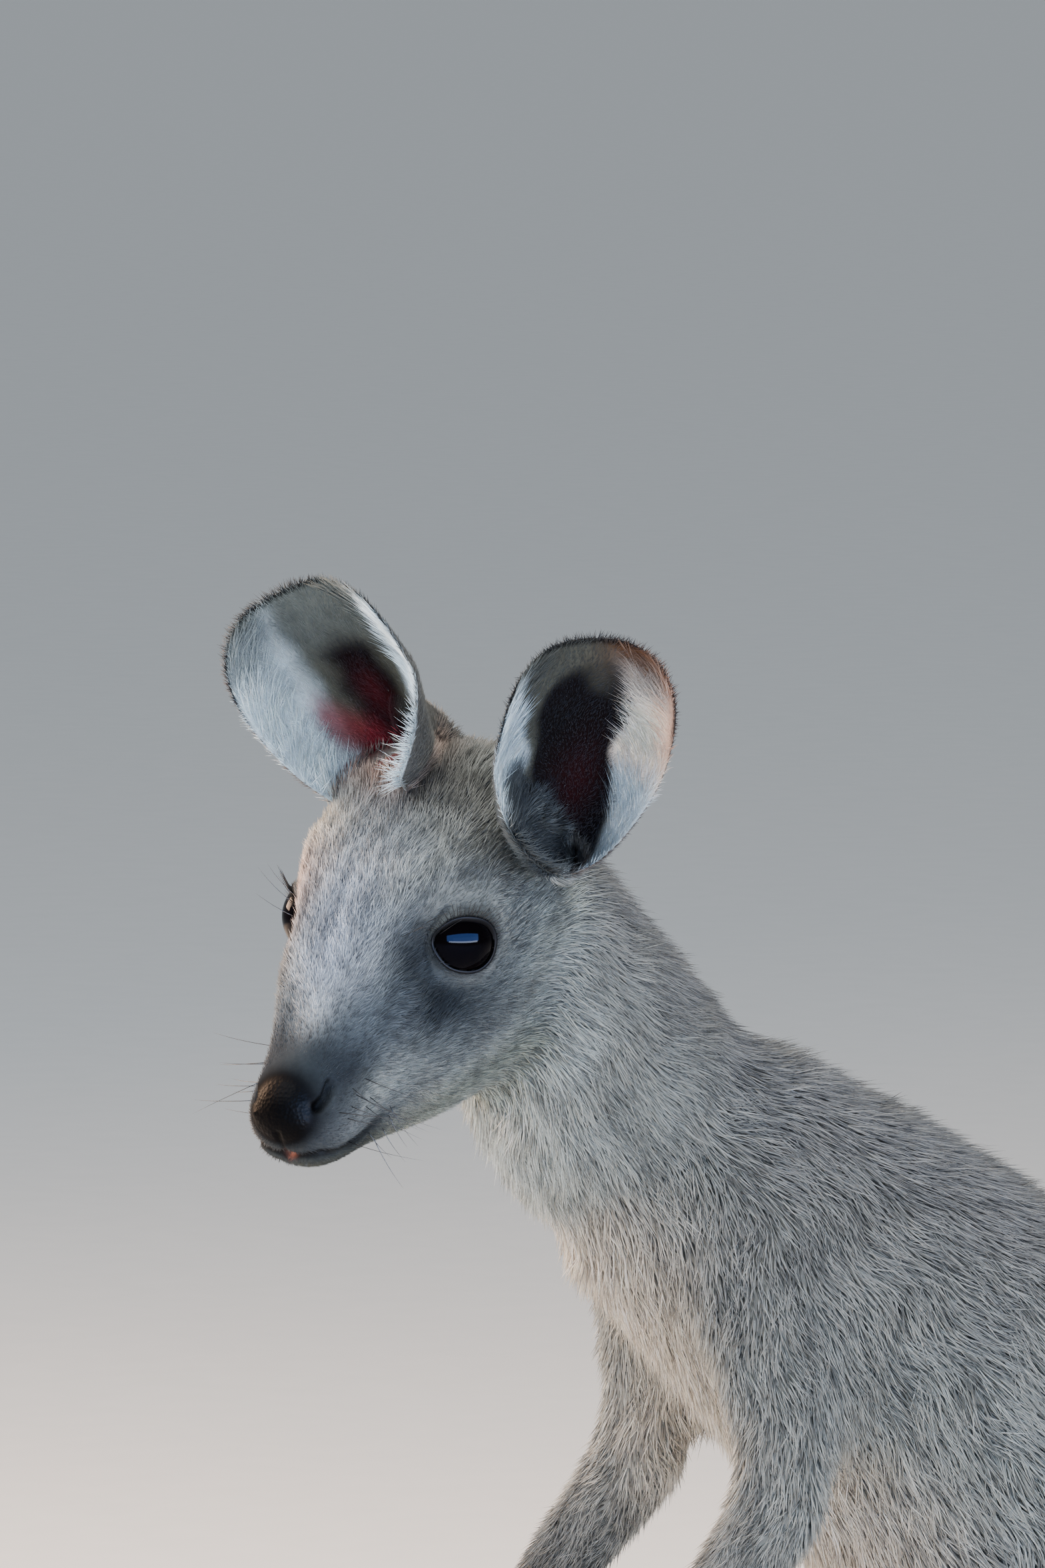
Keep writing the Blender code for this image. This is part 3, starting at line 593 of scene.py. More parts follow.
# The floor of the left ear's hollow is sunk below the ear's root.
PIT_FLOOR, PIT_WALL, PIT_MOUTH = -0.07, 0.0025, 0.45
frame_of_ear = ear_frame("left")
local = moved(points_of(skin.data), frame_of_ear.inverted())
u = local[:, 2] / EAR_LENGTH
radius, lean, _, _ = ear_bend(u, -SIDES["left"])
proud = np.hypot(local[:, 1], radius + lean - local[:, 0]) - radius
turn = np.abs(np.arctan2(local[:, 1], radius + lean - local[:, 0]))
inside = eased(proud, 0.0002, -PIT_WALL) * (turn < EAR_CLOSED) * (u > PIT_FLOOR) * (u < PIT_MOUTH)
inside *= local[:, 0] < radius + lean + radius * 0.7
local[:, 2] -= (u - PIT_FLOOR) * EAR_LENGTH * inside
move_points(skin.data, moved(local, frame_of_ear))

# The flesh in front of and above each eye is hollowed, and the socket filled with a ball, which the lids
# are then shaped from.
places = in_head(points_of(skin.data))
ways = turned_by(normals_of(skin.data), HEAD_INVERSE)
hollow = ORBIT_DEPTH * hump(both_alike(places), ORBIT_PLACE, ORBIT_REACH) * (places[:, 0] > -0.03)
move_points(skin.data, moved(places - ways * hollow[:, None], HEAD))
for side in SIDES:
    bpy.ops.object.select_all(action="DESELECT")
    place = HEAD @ Vector(mirrored(EYE_IN_HEAD, side))
    bpy.ops.mesh.primitive_ico_sphere_add(subdivisions=5, radius=SOCKET_FILL, location=place)
    ball = bpy.context.object
    bpy.ops.object.transform_apply(location=True, rotation=True, scale=True)
    joined(skin, ball)

fine = bmesh.new()
fine.from_mesh(skin.data)
places = in_head(points_of(skin.data))
detailed = np.linalg.norm(places - np.array(NOSE_MIDDLE), axis=1) < FACE_ROOM
for side in SIDES:
    detailed |= np.linalg.norm(places - mirrored(EYE_IN_HEAD, side), axis=1) < LID_ROOM
fine.edges.ensure_lookup_table()
chosen = [e for e in fine.edges if detailed[e.verts[0].index] and detailed[e.verts[1].index]
          and e.calc_length() > FINE_EDGE]
bmesh.ops.subdivide_edges(fine, edges=chosen, cuts=1, use_grid_fill=True)
bmesh.ops.triangulate(fine, faces=fine.faces)
fine.to_mesh(skin.data)
fine.free()
skin.data.shade_smooth()

points, edges = points_of(skin.data), edges_of(skin.data)
places = in_head(points)
near_face = (places[:, 0] > -0.03) & (np.abs(places[:, 1]) < 0.04) & (np.abs(places[:, 2]) < 0.05)
points[near_face] = spread(points, edges, FACE_ROUNDS)[near_face]
near_nose = hump(places, NOSE_SOFT, (0.015, 0.017, 0.015))[:, None]
points += (spread(points, edges, NOSE_ROUNDS) - points) * eased(near_nose, 0.2, 0.6)
round_eyes = np.zeros(len(points), bool)
for side in SIDES:
    round_eyes |= np.linalg.norm(places - mirrored(EYE_IN_HEAD, side), axis=1) < EYE_ROOM
points[round_eyes] = spread(points, edges, EYE_ROUNDS)[round_eyes]
move_points(skin.data, points)
places = in_head(points)
ways = turned_by(normals_of(skin.data), HEAD_INVERSE)
face_skin = BVHTree.FromObject(skin, bpy.context.evaluated_depsgraph_get())


def on_skin(line, side="left"):
    """A line in the head's frame, drawn down onto the skin."""
    found = [face_skin.find_nearest(HEAD @ Vector(p))[0] for p in mirrored(line, side)]
    return np.array([HEAD_INVERSE @ p for p in found])


def groove(line, depth, width, fade=None):
    """How deep a groove along a line presses in at each of the skin's points; fade is where along it."""
    gap, share = line_distance(places, line)
    return depth * np.exp(-((gap / width) ** 2)) * (1 if fade is None else eased(share, *fade))


press = groove(on_skin(CLEFT), *CLEFT_CUT)
for side in SIDES:
    nostril, mouth = on_skin(NOSTRIL, side), on_skin(MOUTH, side)
    press += groove(nostril, *NOSTRIL_CUT)
    press -= groove(nostril + WING_ABOVE, *NOSTRIL_WING)
    press += groove(mouth, *MOUTH_CUT, fade=(1.0, 0.55))
    press -= groove(mouth + LIP_BELOW, *LOWER_LIP, fade=(0.9, 0.3))
places = places - ways * press[:, None]

for side in SIDES:
    far, off, around, (way, front, top) = lid_angles(places, side)
    edge = lid_edge(around)
    close = far < EYE_ROOM
    lidded = EYE_RADIUS + LID_THICK
    rise = eased(off - edge, *LID_RISE)
    reached = lidded + (np.maximum(far, lidded) - lidded) * rise
    reached = np.where(off > edge, np.where(off < LID_LAST, reached, far), EYE_RADIUS - SOCKET_SINK)
    snapped = close & (np.abs(off - edge) < SNAP)
    new_off = np.where(snapped, edge, off)
    reached = np.where(snapped, EYE_RADIUS + LID_THICK * 0.6, reached)
    swing = front * np.cos(around)[:, None] + top * np.sin(around)[:, None]
    looked = way * np.cos(new_off)[:, None] + swing * np.sin(new_off)[:, None]
    put = mirrored(EYE_IN_HEAD, side) + looked * reached[:, None]
    places = np.where((close & (off < LID_LAST))[:, None], put, places)
for side in SIDES:
    far, off, around, _ = lid_angles(places, side)
    fold = eased(off - lid_edge(around), *LID_FOLD) * eased(far, *LID_FOLD_FAR)
    places += (spread(places, edges, LID_FOLD_ROUNDS) - places) * fold[:, None]
move_points(skin.data, moved(places, HEAD))

# ------------------------------------------------------------------ where everything is on the skin
# For each of the skin's points: the node it covers, its place in the head and in each ear, how far the
# coat stands there, and which way the hair lies. The markings and the tufts are worked out from these.
POINTS, EDGES, WAYS = points_of(skin.data), edges_of(skin.data), normals_of(skin.data)
skin.data.calc_loop_triangles()
TRIANGLES = np.empty(len(skin.data.loop_triangles) * 3, np.int32)
skin.data.loop_triangles.foreach_get("vertices", TRIANGLES)
TRIANGLES = TRIANGLES.reshape(-1, 3)
OWNER = nearest_nodes(POINTS, FLESH + EAR_NODES)
EAR_MIDDLES = {side: np.array(middle("ear_" + side)) for side in SIDES}


def at_ear(points, side):
    """Whether points are nearer to this side's ear than to the other's."""
    gaps = {one: np.linalg.norm(points - place, axis=1) for one, place in EAR_MIDDLES.items()}
    return gaps[side] <= np.minimum(gaps["left"], gaps["right"])


def in_ear(points, side):
    """Where points are in an ear: u from 0 at its root to 1 at its tip, t from -1 at its outer edge to 1 next
    to the crown, and how far they lie behind the hollow's own face."""
    local = moved(points, ear_frame(side).inverted())
    u = local[:, 2] / EAR_LENGTH
    radius, lean, wrap, inner = ear_bend(u, -SIDES[side])
    angle = np.arctan2(local[:, 1], radius + lean - local[:, 0])
    r = np.hypot(local[:, 1], radius + lean - local[:, 0])
    t = angle * -SIDES[side]
    t = np.where(t > 0, t / inner, t / wrap)
    return u, t, r - radius


def tucked_fur(u, t, side):
    """Where the head's own fur runs over the foot of the left ear's inner edge, from 0 to 1."""
    return eased(t - 1.45 * u, -0.25, -0.13) * eased(u, 0.47, 0.38) * (side == "left")


HAIR = {  # length, lift in degrees and share of the usual number of tufts
    "head": (0.0043, 17, 1.0), "lower_jaw": (0.0036, 13, 1.0), "nose": (0.0016, 8, 0.5),
    "neck": (0.0105, 22, 1.0), "chest": (0.0115, 20, 1.0), "hindquarters": (0.0120, 19, 1.0),
    "tail_base": (0.0110, 17, 1.0), "tail_middle": (0.0085, 15, 1.0), "tail_end": (0.0080, 15, 1.0),
    "thigh": (0.0110, 19, 1.0), "shank": (0.0075, 16, 1.0), "foot": (0.0036, 9, 1.0),
    "upper_arm": (0.0085, 18, 1.0), "forearm": (0.0065, 16, 1.0), "hand": (0.0022, 8, 1.2),
    "ear": (0.0028, 10, 1.0),
}
LIE_ROUNDS = 25
MUZZLE_TIP = np.array([0.066, 0, -0.016])


def lie_of_coat():
    """The way the hair lies at each point, along the skin."""
    lie = np.zeros_like(POINTS)
    chain = ["head", "neck", "chest", "hindquarters", "tail_base", "tail_middle", "tail_end"]
    stations = [np.array(middle(one)) for one in chain]
    for k, one in enumerate(chain[1:], 1):
        way = stations[min(k + 1, len(chain) - 1)] - stations[k - 1]
        lie[OWNER == one] = way / np.linalg.norm(way) + np.array([0, 0, -0.25])
    places = in_head(POINTS)
    for one in HEAD_NODES:
        here = OWNER == one
        away = places[here] - MUZZLE_TIP
        away /= np.linalg.norm(away, axis=1)[:, None]
        lie[here] = turned_by(away + np.array([-0.45, 0, 0]), HEAD)
    for side in SIDES:
        sign = SIDES[side]
        for name, way in (("thigh", (-0.30, 0.10 * sign, -0.95)), ("shank", (-0.62, 0, -0.78)),
                          ("foot", (1, 0, -0.1)), ("upper_arm", (-0.05, 0.2 * sign, -1)),
                          ("forearm", (0.62, 0, -0.78)), ("hand", (0.35, 0, -0.94))):
            here = (OWNER == name) & (POINTS[:, 1] * sign > 0)
            lie[here] = way
        here = (OWNER == "ear") & at_ear(POINTS, side)
        u, t, proud = in_ear(POINTS[here], side)
        frame_axes = np.array(ear_frame(side))[:3, :3]
        outwards = frame_axes[:, 1] * -sign
        hollow = eased(proud, EAR_WALL * 0.40, EAR_WALL * 0.34)
        lie[here] = frame_axes[:, 2] + outwards * (t * (0.35 + 0.6 * hollow))[:, None]
    lie -= WAYS * (lie * WAYS).sum(1)[:, None]
    lie /= np.maximum(np.linalg.norm(lie, axis=1), 1e-9)[:, None]
    lie = spread(lie, EDGES, LIE_ROUNDS)
    lie -= WAYS * (lie * WAYS).sum(1)[:, None]
    return lie / np.maximum(np.linalg.norm(lie, axis=1), 1e-9)[:, None]


LIE = lie_of_coat()
coat_values = spread(np.array([HAIR[name] for name in OWNER]), EDGES, LIE_ROUNDS)
FACE = in_head(POINTS)
HAIR_LENGTH, HAIR_LIFT, HAIR_SHARE = coat_values.T

# The coat is shortest by the nose and round the eyes, and longest on the crown. Nothing grows on the pad of
# the nose, the lids' edges, the lips, or inside the nostrils and the depth of the ears.
NOSE_PAD = ((0.0610, 0, -0.0160), (0.0138, 0.0114, 0.0098))  # middle and reach of the bare leather


def bare(places):
    """How bare the skin is at places in the head's frame, from 0 to 1."""
    found = eased(hump(places, *NOSE_PAD), 0.38, 0.60)
    for side in SIDES:
        found = np.maximum(found, eased(line_distance(places, on_skin(NOSTRIL, side))[0], 0.0024, 0.0014))
        found = np.maximum(found, eased(line_distance(places, on_skin(MOUTH[:3], side))[0], 0.0013, 0.0006))
        far, off, around, _ = lid_angles(places, side)
        lid = eased(off - lid_edge(around), math.radians(6), math.radians(3))
        found = np.maximum(found, np.where(far < EYE_ROOM, lid, 0))
    return np.maximum(found, eased(line_distance(places, on_skin(CLEFT))[0], 0.0010, 0.0005))


BARE = bare(FACE)
for side in SIDES:
    u, t, proud = in_ear(POINTS, side)
    pit = (OWNER == "head") & at_ear(POINTS, side) & (np.abs(t) < 0.93) & (proud < 0.0010) & (u < 0.36)
    BARE = np.maximum(BARE, pit & (u > -0.2) & (tucked_fur(u, t, side) < 0.5))
on_head = np.isin(OWNER, HEAD_NODES)
muzzle = eased(FACE[:, 0], 0.012, 0.056) * on_head
HAIR_LENGTH = HAIR_LENGTH * (1 - 0.60 * muzzle)
for side in SIDES:
    far, off, around, _ = lid_angles(FACE, side)
    HAIR_LENGTH = HAIR_LENGTH * (1 - 0.55 * on_head * eased(far, 0.020, 0.011))
crown = on_head * eased(FACE[:, 0], -0.010, -0.030) * eased(FACE[:, 2], 0.008, 0.022)
HAIR_LENGTH = HAIR_LENGTH * (1 + 0.85 * crown)
HAIR_LIFT = HAIR_LIFT * (1 + 0.45 * crown)
u, t, proud = in_ear(POINTS, "left")
tucked = tucked_fur(u, t, "left") * (proud < 0.0030) * (u > -0.15) * at_ear(POINTS, "left") * (OWNER == "ear")
HAIR_LENGTH = HAIR_LENGTH * (1 + 0.7 * tucked)
HAIR_LIFT = HAIR_LIFT * (1 + 0.6 * tucked)
behind_right_ear = hump(FACE, (-0.046, -0.004, 0.030), (0.012, 0.012, 0.016))
HAIR_LENGTH = HAIR_LENGTH * (1 - 0.55 * behind_right_ear)

# ------------------------------------------------------------------ markings
# Grey above, paler on the cheeks and under the throat (there partly painted light), cream on the belly and
# inside the limbs; a dark muzzle, painted shade in the creases round each eye, near-black hands, feet and
# tail tip, dark-rimmed ears with painted shade in their hollows, and painted warm sunlight on the far side
# of the head and on the near ear.
COLOURS = {name: linear(value) for name, value in {
    "grey": "a0a6a2", "pale": "c2cac6", "cream": "efe4d2", "back": "8f8b84", "paw": "2a211d",
    # The blue-black 171c22 is painted shade in the creases and the ring round the eyes.
    "black": "060505", "bridge": "a2acbc", "crown": "56544f", "dark": "2b3236", "painted_eye_shade": "171c22",
    # Painted warm sunlight, for fur lit by low sun from behind.
    "painted_sunlight": "d39a7a",
    "muzzle": "545e66", "muzzle_top": "20262d", "leather": "040405", "lip": "868c8e", "lips": "d0836a",
    "chin": "32362a", "olive": "7d826c", "ear_back": "5c5b57", "ear_grey": "4c4e46", "ear_mist": "768284",
    # On the next line, the band colour is painted warm sunlight shining through the near ear, and the hollow
    # colour is painted shade deep in the ears.
    "ear_pale": "d9ecf6", "band": "ffefdc", "tan": "5a3a20", "hollow": "080302", "pink": "80242f",
    "foot_of_ear": "404545",
}.items()}
# Soft patches of colour on the head, laid over each other in turn: the colour, whether both sides have it,
# its middle and its reach in the head's frame, and how much of it there is at the middle.
CROWN_PATCHES = (
    ("bridge", True, (0.020, 0, 0.012), (0.034, 0.016, 0.026), 0.9),
    ("crown", False, (-0.024, 0.014, 0.023), (0.016, 0.017, 0.013), 0.75),
    ("crown", False, (-0.020, 0.025, 0.012), (0.010, 0.010, 0.012), 0.4),
)
BEFORE_EYE = (("dark", True, (0.014, 0.020, 0.001), (0.010, 0.009, 0.010), 0.72),)
EYE_AND_CHEEK_PATCHES = (
    # The first and third patch here are painted shade in the creases above and before the eye.
    ("painted_eye_shade", True, (0.0095, 0.0195, 0.0090), (0.003, 0.004, 0.003), 0.6),
    ("muzzle", True, (0.016, 0.010, 0.013), (0.010, 0.007, 0.009), 0.35),
    ("painted_eye_shade", True, (0.016, 0.019, 0.003), (0.0055, 0.006, 0.0045), 0.5),
    # Pale fur on the back of the cheek, made paler still as painted light.
    ("pale", True, (-0.024, 0.030, -0.022), (0.016, 0.016, 0.022), 0.9),
    ("dark", True, (-0.013, 0.029, -0.010), (0.007, 0.010, 0.006), 0.30),
    ("pale", True, (0.004, 0.022, -0.038), (0.016, 0.012, 0.008), 0.8),
)
# Pale fur under the throat, made paler still as painted light over the shaded crease between jaw and neck.
THROAT_PATCH = (("pale", True, (-0.015, 0.024, -0.046), (0.018, 0.014, 0.016), 0.9),)
LIP_PATCHES = (
    ("ear_back", False, (-0.046, -0.004, 0.030), (0.011, 0.013, 0.016), 0.95),
    ("lip", True, (0.046, 0.014, -0.026), (0.010, 0.008, 0.006), 0.8),
    ("pale", True, (0.038, 0.0170, -0.0225), (0.007, 0.007, 0.005), 0.75),
)
CHIN_AND_BROW_PATCHES = (
    ("chin", True, (0.050, 0.006, -0.036), (0.016, 0.014, 0.007), 0.95),
    ("pale", True, (0.010, 0, -0.056), (0.030, 0.018, 0.012), 0.8),
    # Painted warm sunlight on the far side of the crown, before the far ear.
    ("painted_sunlight", False, (-0.029, -0.006, 0.028), (0.011, 0.009, 0.010), 0.9),
    ("painted_sunlight", False, (-0.031, -0.020, 0.022), (0.008, 0.008, 0.008), 0.6),
    ("dark", False, (-0.024, 0.006, 0.0285), (0.0065, 0.0050, 0.0065), 0.8),
    # Painted warm sunlight round the far eye.
    ("painted_sunlight", False, (0.008, -0.0185, 0.013), (0.012, 0.008, 0.012), 0.42),
    ("dark", True, (0.053, 0, -0.007), (0.010, 0.012, 0.008), 0.9),
)
SNOUT_LINE = [(0.015, 0.0195, 0.000), (0.030, 0.0140, -0.006), (0.046, 0.0105, -0.010)]
UNDER_EYE_LINE = [(0.014, 0.0225, -0.012), (0.006, 0.0245, -0.016), (-0.010, 0.0262, -0.024)]
LIPS_PATCH = ((0.0584, 0.0010, -0.0288), (0.003, 0.0013, 0.0011))
EAR_SPOTS = {  # in u and t: the tan tip and the pink depth of the left ear, the two reds of the right one
    "tan": ((0.93, -0.70), (0.15, 0.42)), "pink_left": ((0.24, -0.14), (0.22, 0.22)),
    "pink_line": [(0.40, -0.30), (0.24, -0.04)], "pink_right": ((0.42, 0.15), (0.14, 0.10)),
}
PAW_FADE = 0.055  # above the hand and the foot, where their dark colour begins
TAIL_FADE = (0.11, 0.01)  # before the tail's end, where its black begins and where it is full


def mixed(colours, name, share):
    """Colours with a share of a named one laid over them."""
    share = np.clip(share, 0, 1)[:, None]
    return colours * (1 - share) + COLOURS[name] * share


def patched(colours, patches, places, where):
    """Colours with each of the patches laid over them in turn, where `where` is 1."""
    for name, on_both, place, reach, share in patches:
        spots = both_alike(places) if on_both else places
        colours = mixed(colours, name, where * hump(spots, place, reach) * share)
    return colours


def ripple(points, size, seed):
    """Smooth noise round 0, about 1 high, with humps of the given size."""
    draw = np.random.default_rng(seed)
    waves = draw.normal(size=(10, 3)) * (2 * math.pi / size) * 0.5
    return (np.cos(points @ waves.T + draw.uniform(0, 2 * math.pi, 10))).sum(1) / math.sqrt(5)


def body_marked(colours, points, ways, owner, body):
    """The trunk, limbs and tail: cream below and inside, dark paws, feet and tail tip."""
    colours = mixed(colours, "back", body * eased(ways[:, 2], -0.2, 0.75) * 0.8)
    under = eased(ways[:, 2] * 0.62 - ways[:, 0] * 0.78, -0.42, -0.80)
    belly = np.isin(owner, ("chest", "hindquarters", "tail_base"))
    colours = mixed(colours, "cream", body * under * belly * 0.9)
    colours = mixed(colours, "pale", body * under * (owner == "neck") * 0.8)
    inwards = eased(ways[:, 1] * -np.sign(points[:, 1]), 0.1, 0.8)
    colours = mixed(colours, "cream", inwards * np.isin(owner, ("thigh", "shank", "upper_arm")) * 0.8)
    colours = mixed(colours, "paw", np.isin(owner, ("hand", "foot")) * 0.97)
    wrist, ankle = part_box("hand_left")[1].z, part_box("foot_left")[1].z
    low = eased(points[:, 2], wrist + PAW_FADE, wrist + 0.012)
    colours = mixed(colours, "paw", (owner == "forearm") * low)
    low = eased(points[:, 2], ankle + PAW_FADE, ankle + 0.010)
    colours = mixed(colours, "paw", (owner == "shank") * low * 0.97)
    tail_x = np.array(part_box("tail_end")[0])[0]
    tip = eased(points[:, 0], tail_x + TAIL_FADE[0], tail_x + TAIL_FADE[1])
    return mixed(colours, "black", (owner == "tail_end") * tip * 0.85)


def head_marked(colours, places, head):
    """The head: grey crown and bridge, dark muzzle, painted eye shade, pale cheeks, dark chin, painted
    sunlight.
    """
    flat = both_alike(places)
    colours = patched(colours, CROWN_PATCHES, places, head)
    sides = eased(flat[:, 0], 0.020, 0.044) * eased(flat[:, 1], 0.001, 0.009)
    colours = mixed(colours, "muzzle", head * sides * 0.7)
    colours = mixed(colours, "muzzle", head * eased(line_distance(flat, SNOUT_LINE)[0], 0.014, 0.002) * 0.8)
    colours = mixed(colours, "muzzle_top", head * eased(flat[:, 0] + flat[:, 1] * 0.1, 0.034, 0.045) * 0.85)
    colours = patched(colours, BEFORE_EYE, places, head)
    gap, share = line_distance(flat, UNDER_EYE_LINE)
    colours = mixed(colours, "muzzle", head * eased(gap, 0.020, 0.006) * 0.6)
    colours = mixed(colours, "dark", head * eased(gap, 0.0125, 0.002) * (0.98 - 0.40 * share))
    colours = patched(colours, EYE_AND_CHEEK_PATCHES, places, head)
    colours = patched(colours, THROAT_PATCH, places, 1)
    colours = patched(colours, LIP_PATCHES, places, head)
    colours = mixed(colours, "olive", head * eased(flat[:, 2], -0.030, -0.045) * 0.75)
    colours = patched(colours, CHIN_AND_BROW_PATCHES, places, head)
    colours = mixed(colours, "leather", head * eased(hump(places, *NOSE_PAD), 0.16, 0.50))
    for side in SIDES:
        far, off, around, _ = lid_angles(places, side)
        # A ring of painted shade round the eye, widest above and behind, where the lid's hood and the brow
        # shade it.
        past = (off - lid_edge(around)) / (1 + 0.20 * np.sin(around) - 0.15 * np.cos(around))
        ring = eased(past, math.radians(30), math.radians(11)) * (far < EYE_ROOM)
        colours = mixed(colours, "painted_eye_shade", head * ring * 0.62)
        lid = eased(past, math.radians(9), math.radians(4)) * (far < EYE_ROOM)
        colours = mixed(colours, "black", head * lid * 0.98)
        duct = line_distance(places, on_skin(TEAR_DUCT, side))[0]
        colours = mixed(colours, "black", head * eased(duct, 0.0018, 0.0005) * 0.85)
        gap = line_distance(places, on_skin(NOSTRIL, side))[0]
        colours = mixed(colours, "black", head * eased(gap, 0.0022, 0.0010))
        # Dark bare lip skin along the mouth, with painted shade in its crease.
        gap, share = line_distance(places, on_skin(MOUTH, side))
        colours = mixed(colours, "black", head * eased(gap, 0.0021, 0.0007) * eased(share, 1.0, 0.6) * 0.85)
    cleft = line_distance(places, on_skin(CLEFT))[0]
    colours = mixed(colours, "black", head * eased(cleft, 0.0012, 0.0004))
    return mixed(colours, "lips", head * hump(places, *LIPS_PATCH) * 0.85)


def ear_marked(colours, points, owner, side):
    """One ear: grey back, pale margins inside, painted shade in the hollow with pink in its depth, and a black
    rim.
    """
    left = side == "left"
    u, t, proud = in_ear(points, side)
    ear = (owner == "ear") & at_ear(points, side)
    tucked = tucked_fur(u, t, side)
    wander = ripple(points, 0.012, 5) * 0.035

    # The skin of the head that lines the hollow's foot, darkened as painted shade down in the pit.
    lowest = -0.15 if left else 0.22
    within = (owner == "head") & at_ear(points, side) & (np.abs(t) < 0.93)
    within = within * eased(proud, 0.0013, 0.0008) * eased(u, 0.40, 0.34)
    within = within * eased(u, lowest - 0.04, lowest + 0.04)
    colours = mixed(colours, "hollow", within * (1 - tucked) * (np.abs(t + 0.1) < 0.62))
    if not left:
        colours = mixed(colours, "pink", within * eased(np.abs(t + 0.14), 0.55, 0.30) * 0.8)

    inside = ear * eased(proud, EAR_WALL * 0.40, EAR_WALL * 0.34) * eased(u, -0.02, 0.02)
    outside = ear * (1 - inside)
    colours = mixed(colours, "ear_back", outside * 0.85)
    colours = mixed(colours, "tan", outside * eased(t, -0.55, -0.9) * 0.45)
    colours = mixed(colours, "ear_grey", inside)
    if not left:
        colours = mixed(colours, "ear_mist", inside * eased(u, 0.58, 0.80) * 0.30)
    low, blend = (-0.30 - 0.30 * eased(u, 0.40, 0.10), 0.28) if left else (-0.08, 0.42)
    lateral = eased(t + wander, low, low - blend) * eased(u + wander, 0.93, 0.66)
    colours = mixed(colours, "ear_pale", inside * lateral)
    spot = np.stack([u, t], 1)
    if left:
        # Painted warm sunlight shining through the near ear's pale outer margin.
        colours = mixed(colours, "band", inside * lateral * eased(u, 0.30, 0.48))
        # Painted warm sunlight along the near ear's outer edge.
        colours = mixed(colours, "painted_sunlight", inside * eased(t, -0.80, -0.96) * eased(u, 0.42, 0.60) * 0.7)
        colours = mixed(colours, "tan", inside * hump(spot, *EAR_SPOTS["tan"]))
    start = (0.32 if left else 0.40) + 0.36 * eased(u, 0.45, 0.95)
    medial = eased(t + wander, start, start + 0.14) * eased(u, 0.92, 0.74)
    medial = medial * (eased(u, 0.34, 0.50) if left else eased(u, 0.16, 0.32))
    colours = mixed(colours, "ear_pale", inside * medial)
    if left:
        width, shift = 0.38 + 0.36 * eased(u, 0.34, 0.08), 0.10 - 0.16 * eased(u, 0.30, 0.06)
        deep = eased(np.abs(t + shift + wander) - width, 0.05, -0.05) * eased(u + wander, 0.88, 0.74)
        red = hump(spot, *EAR_SPOTS["pink_left"]) * 0.08
    else:
        width, shift = 0.15 + 0.34 * eased(u, 0.34, 0.10), -0.17 * eased(u, 0.12, 0.34)
        deep = eased(np.abs(t + shift + wander) - width, 0.10, -0.05) * eased(u + wander, 0.80, 0.60)
        red = eased(line_distance(spot, EAR_SPOTS["pink_line"])[0], 0.20, 0.03) * 0.75
        red = np.maximum(red, hump(spot, *EAR_SPOTS["pink_right"]) * 0.20)
    # Painted shade down in the ear's hollow.
    colours = mixed(colours, "hollow", inside * deep)
    colours = mixed(colours, "pink", inside * red)
    colours = mixed(colours, "foot_of_ear", np.maximum(ear, within) * tucked * 0.9)
    rim = np.maximum(eased(u, 0.955, 0.985), eased(np.abs(t), 0.95, 0.985) * eased(u, 0.45, 0.75))
    return mixed(colours, "black", ear * rim * 0.9)


def markings(points, ways, owner):
    """The coat's and the skin's colour at points on the skin, with their normals and the nodes they cover."""
    head = np.isin(owner, HEAD_NODES).astype(float)
    colours = np.tile(COLOURS["grey"], (len(points), 1))
    colours = body_marked(colours, points, ways, owner, 1 - head)
    colours = head_marked(colours, in_head(points), head)
    for side in SIDES:
        colours = ear_marked(colours, points, owner, side)
    shade = 1 + 0.06 * ripple(points, 0.030, 1) + 0.08 * ripple(points, 0.007, 2)
    return np.clip(colours * shade[:, None], 0, 1)


def paint(mesh, name, colours):
    """Keeps a colour for each point of a mesh."""
    kept = mesh.color_attributes.new(name, "FLOAT_COLOR", "POINT")
    kept.data.foreach_set("color", np.c_[colours, np.ones(len(colours))].astype(np.float32).ravel())


# The head's and the ears' markings stay crisp, and those of the rest run into each other.
BLEND_ROUNDS = 30
SKIN_COLOUR = markings(POINTS, WAYS, OWNER)
CRISP = np.isin(OWNER, HEAD_NODES + ["ear"])[:, None]
SKIN_COLOUR = np.where(CRISP, SKIN_COLOUR, spread(SKIN_COLOUR, EDGES, BLEND_ROUNDS))
paint(skin.data, "markings", SKIN_COLOUR)
leathery = skin.data.attributes.new("bare", "FLOAT", "POINT")
leathery.data.foreach_set("value", BARE.astype(np.float32))

# The skin under the fur: dull and downy where hair covers it, pebbled and faintly moist on the nose.
hide, tree, shader = material("hide_under_fur", 0.8, Specular_IOR_Level=0.025)
coordinates = node(tree, "TexCoord")
painted = node(tree, "Attribute", attribute_name="markings")
leather = node(tree, "Attribute", attribute_name="bare")
down = node(tree, "TexNoise", {"Vector": coordinates.outputs["Object"], "Scale": 900, "Detail": 3})
pebbles = node(tree, "TexVoronoi", {"Vector": coordinates.outputs["Object"], "Scale": 1100})
darker = node(tree, "MapRange", {"Value": down.outputs["Fac"], "To Min": 0.55, "To Max": 0.95})
tinted = node(tree, "Mix", data_type="RGBA", blend_type="MULTIPLY")
tinted.inputs[0].default_value = 1.0
tree.links.new(painted.outputs["Color"], tinted.inputs[6])
tree.links.new(darker.outputs["Result"], tinted.inputs[7])
tree.links.new(tinted.outputs[2], shader.inputs["Base Color"])
moist = node(tree, "MapRange", {"Value": leather.outputs["Fac"], "To Min": 0.85, "To Max": 0.42})
tree.links.new(moist.outputs["Result"], shader.inputs["Roughness"])
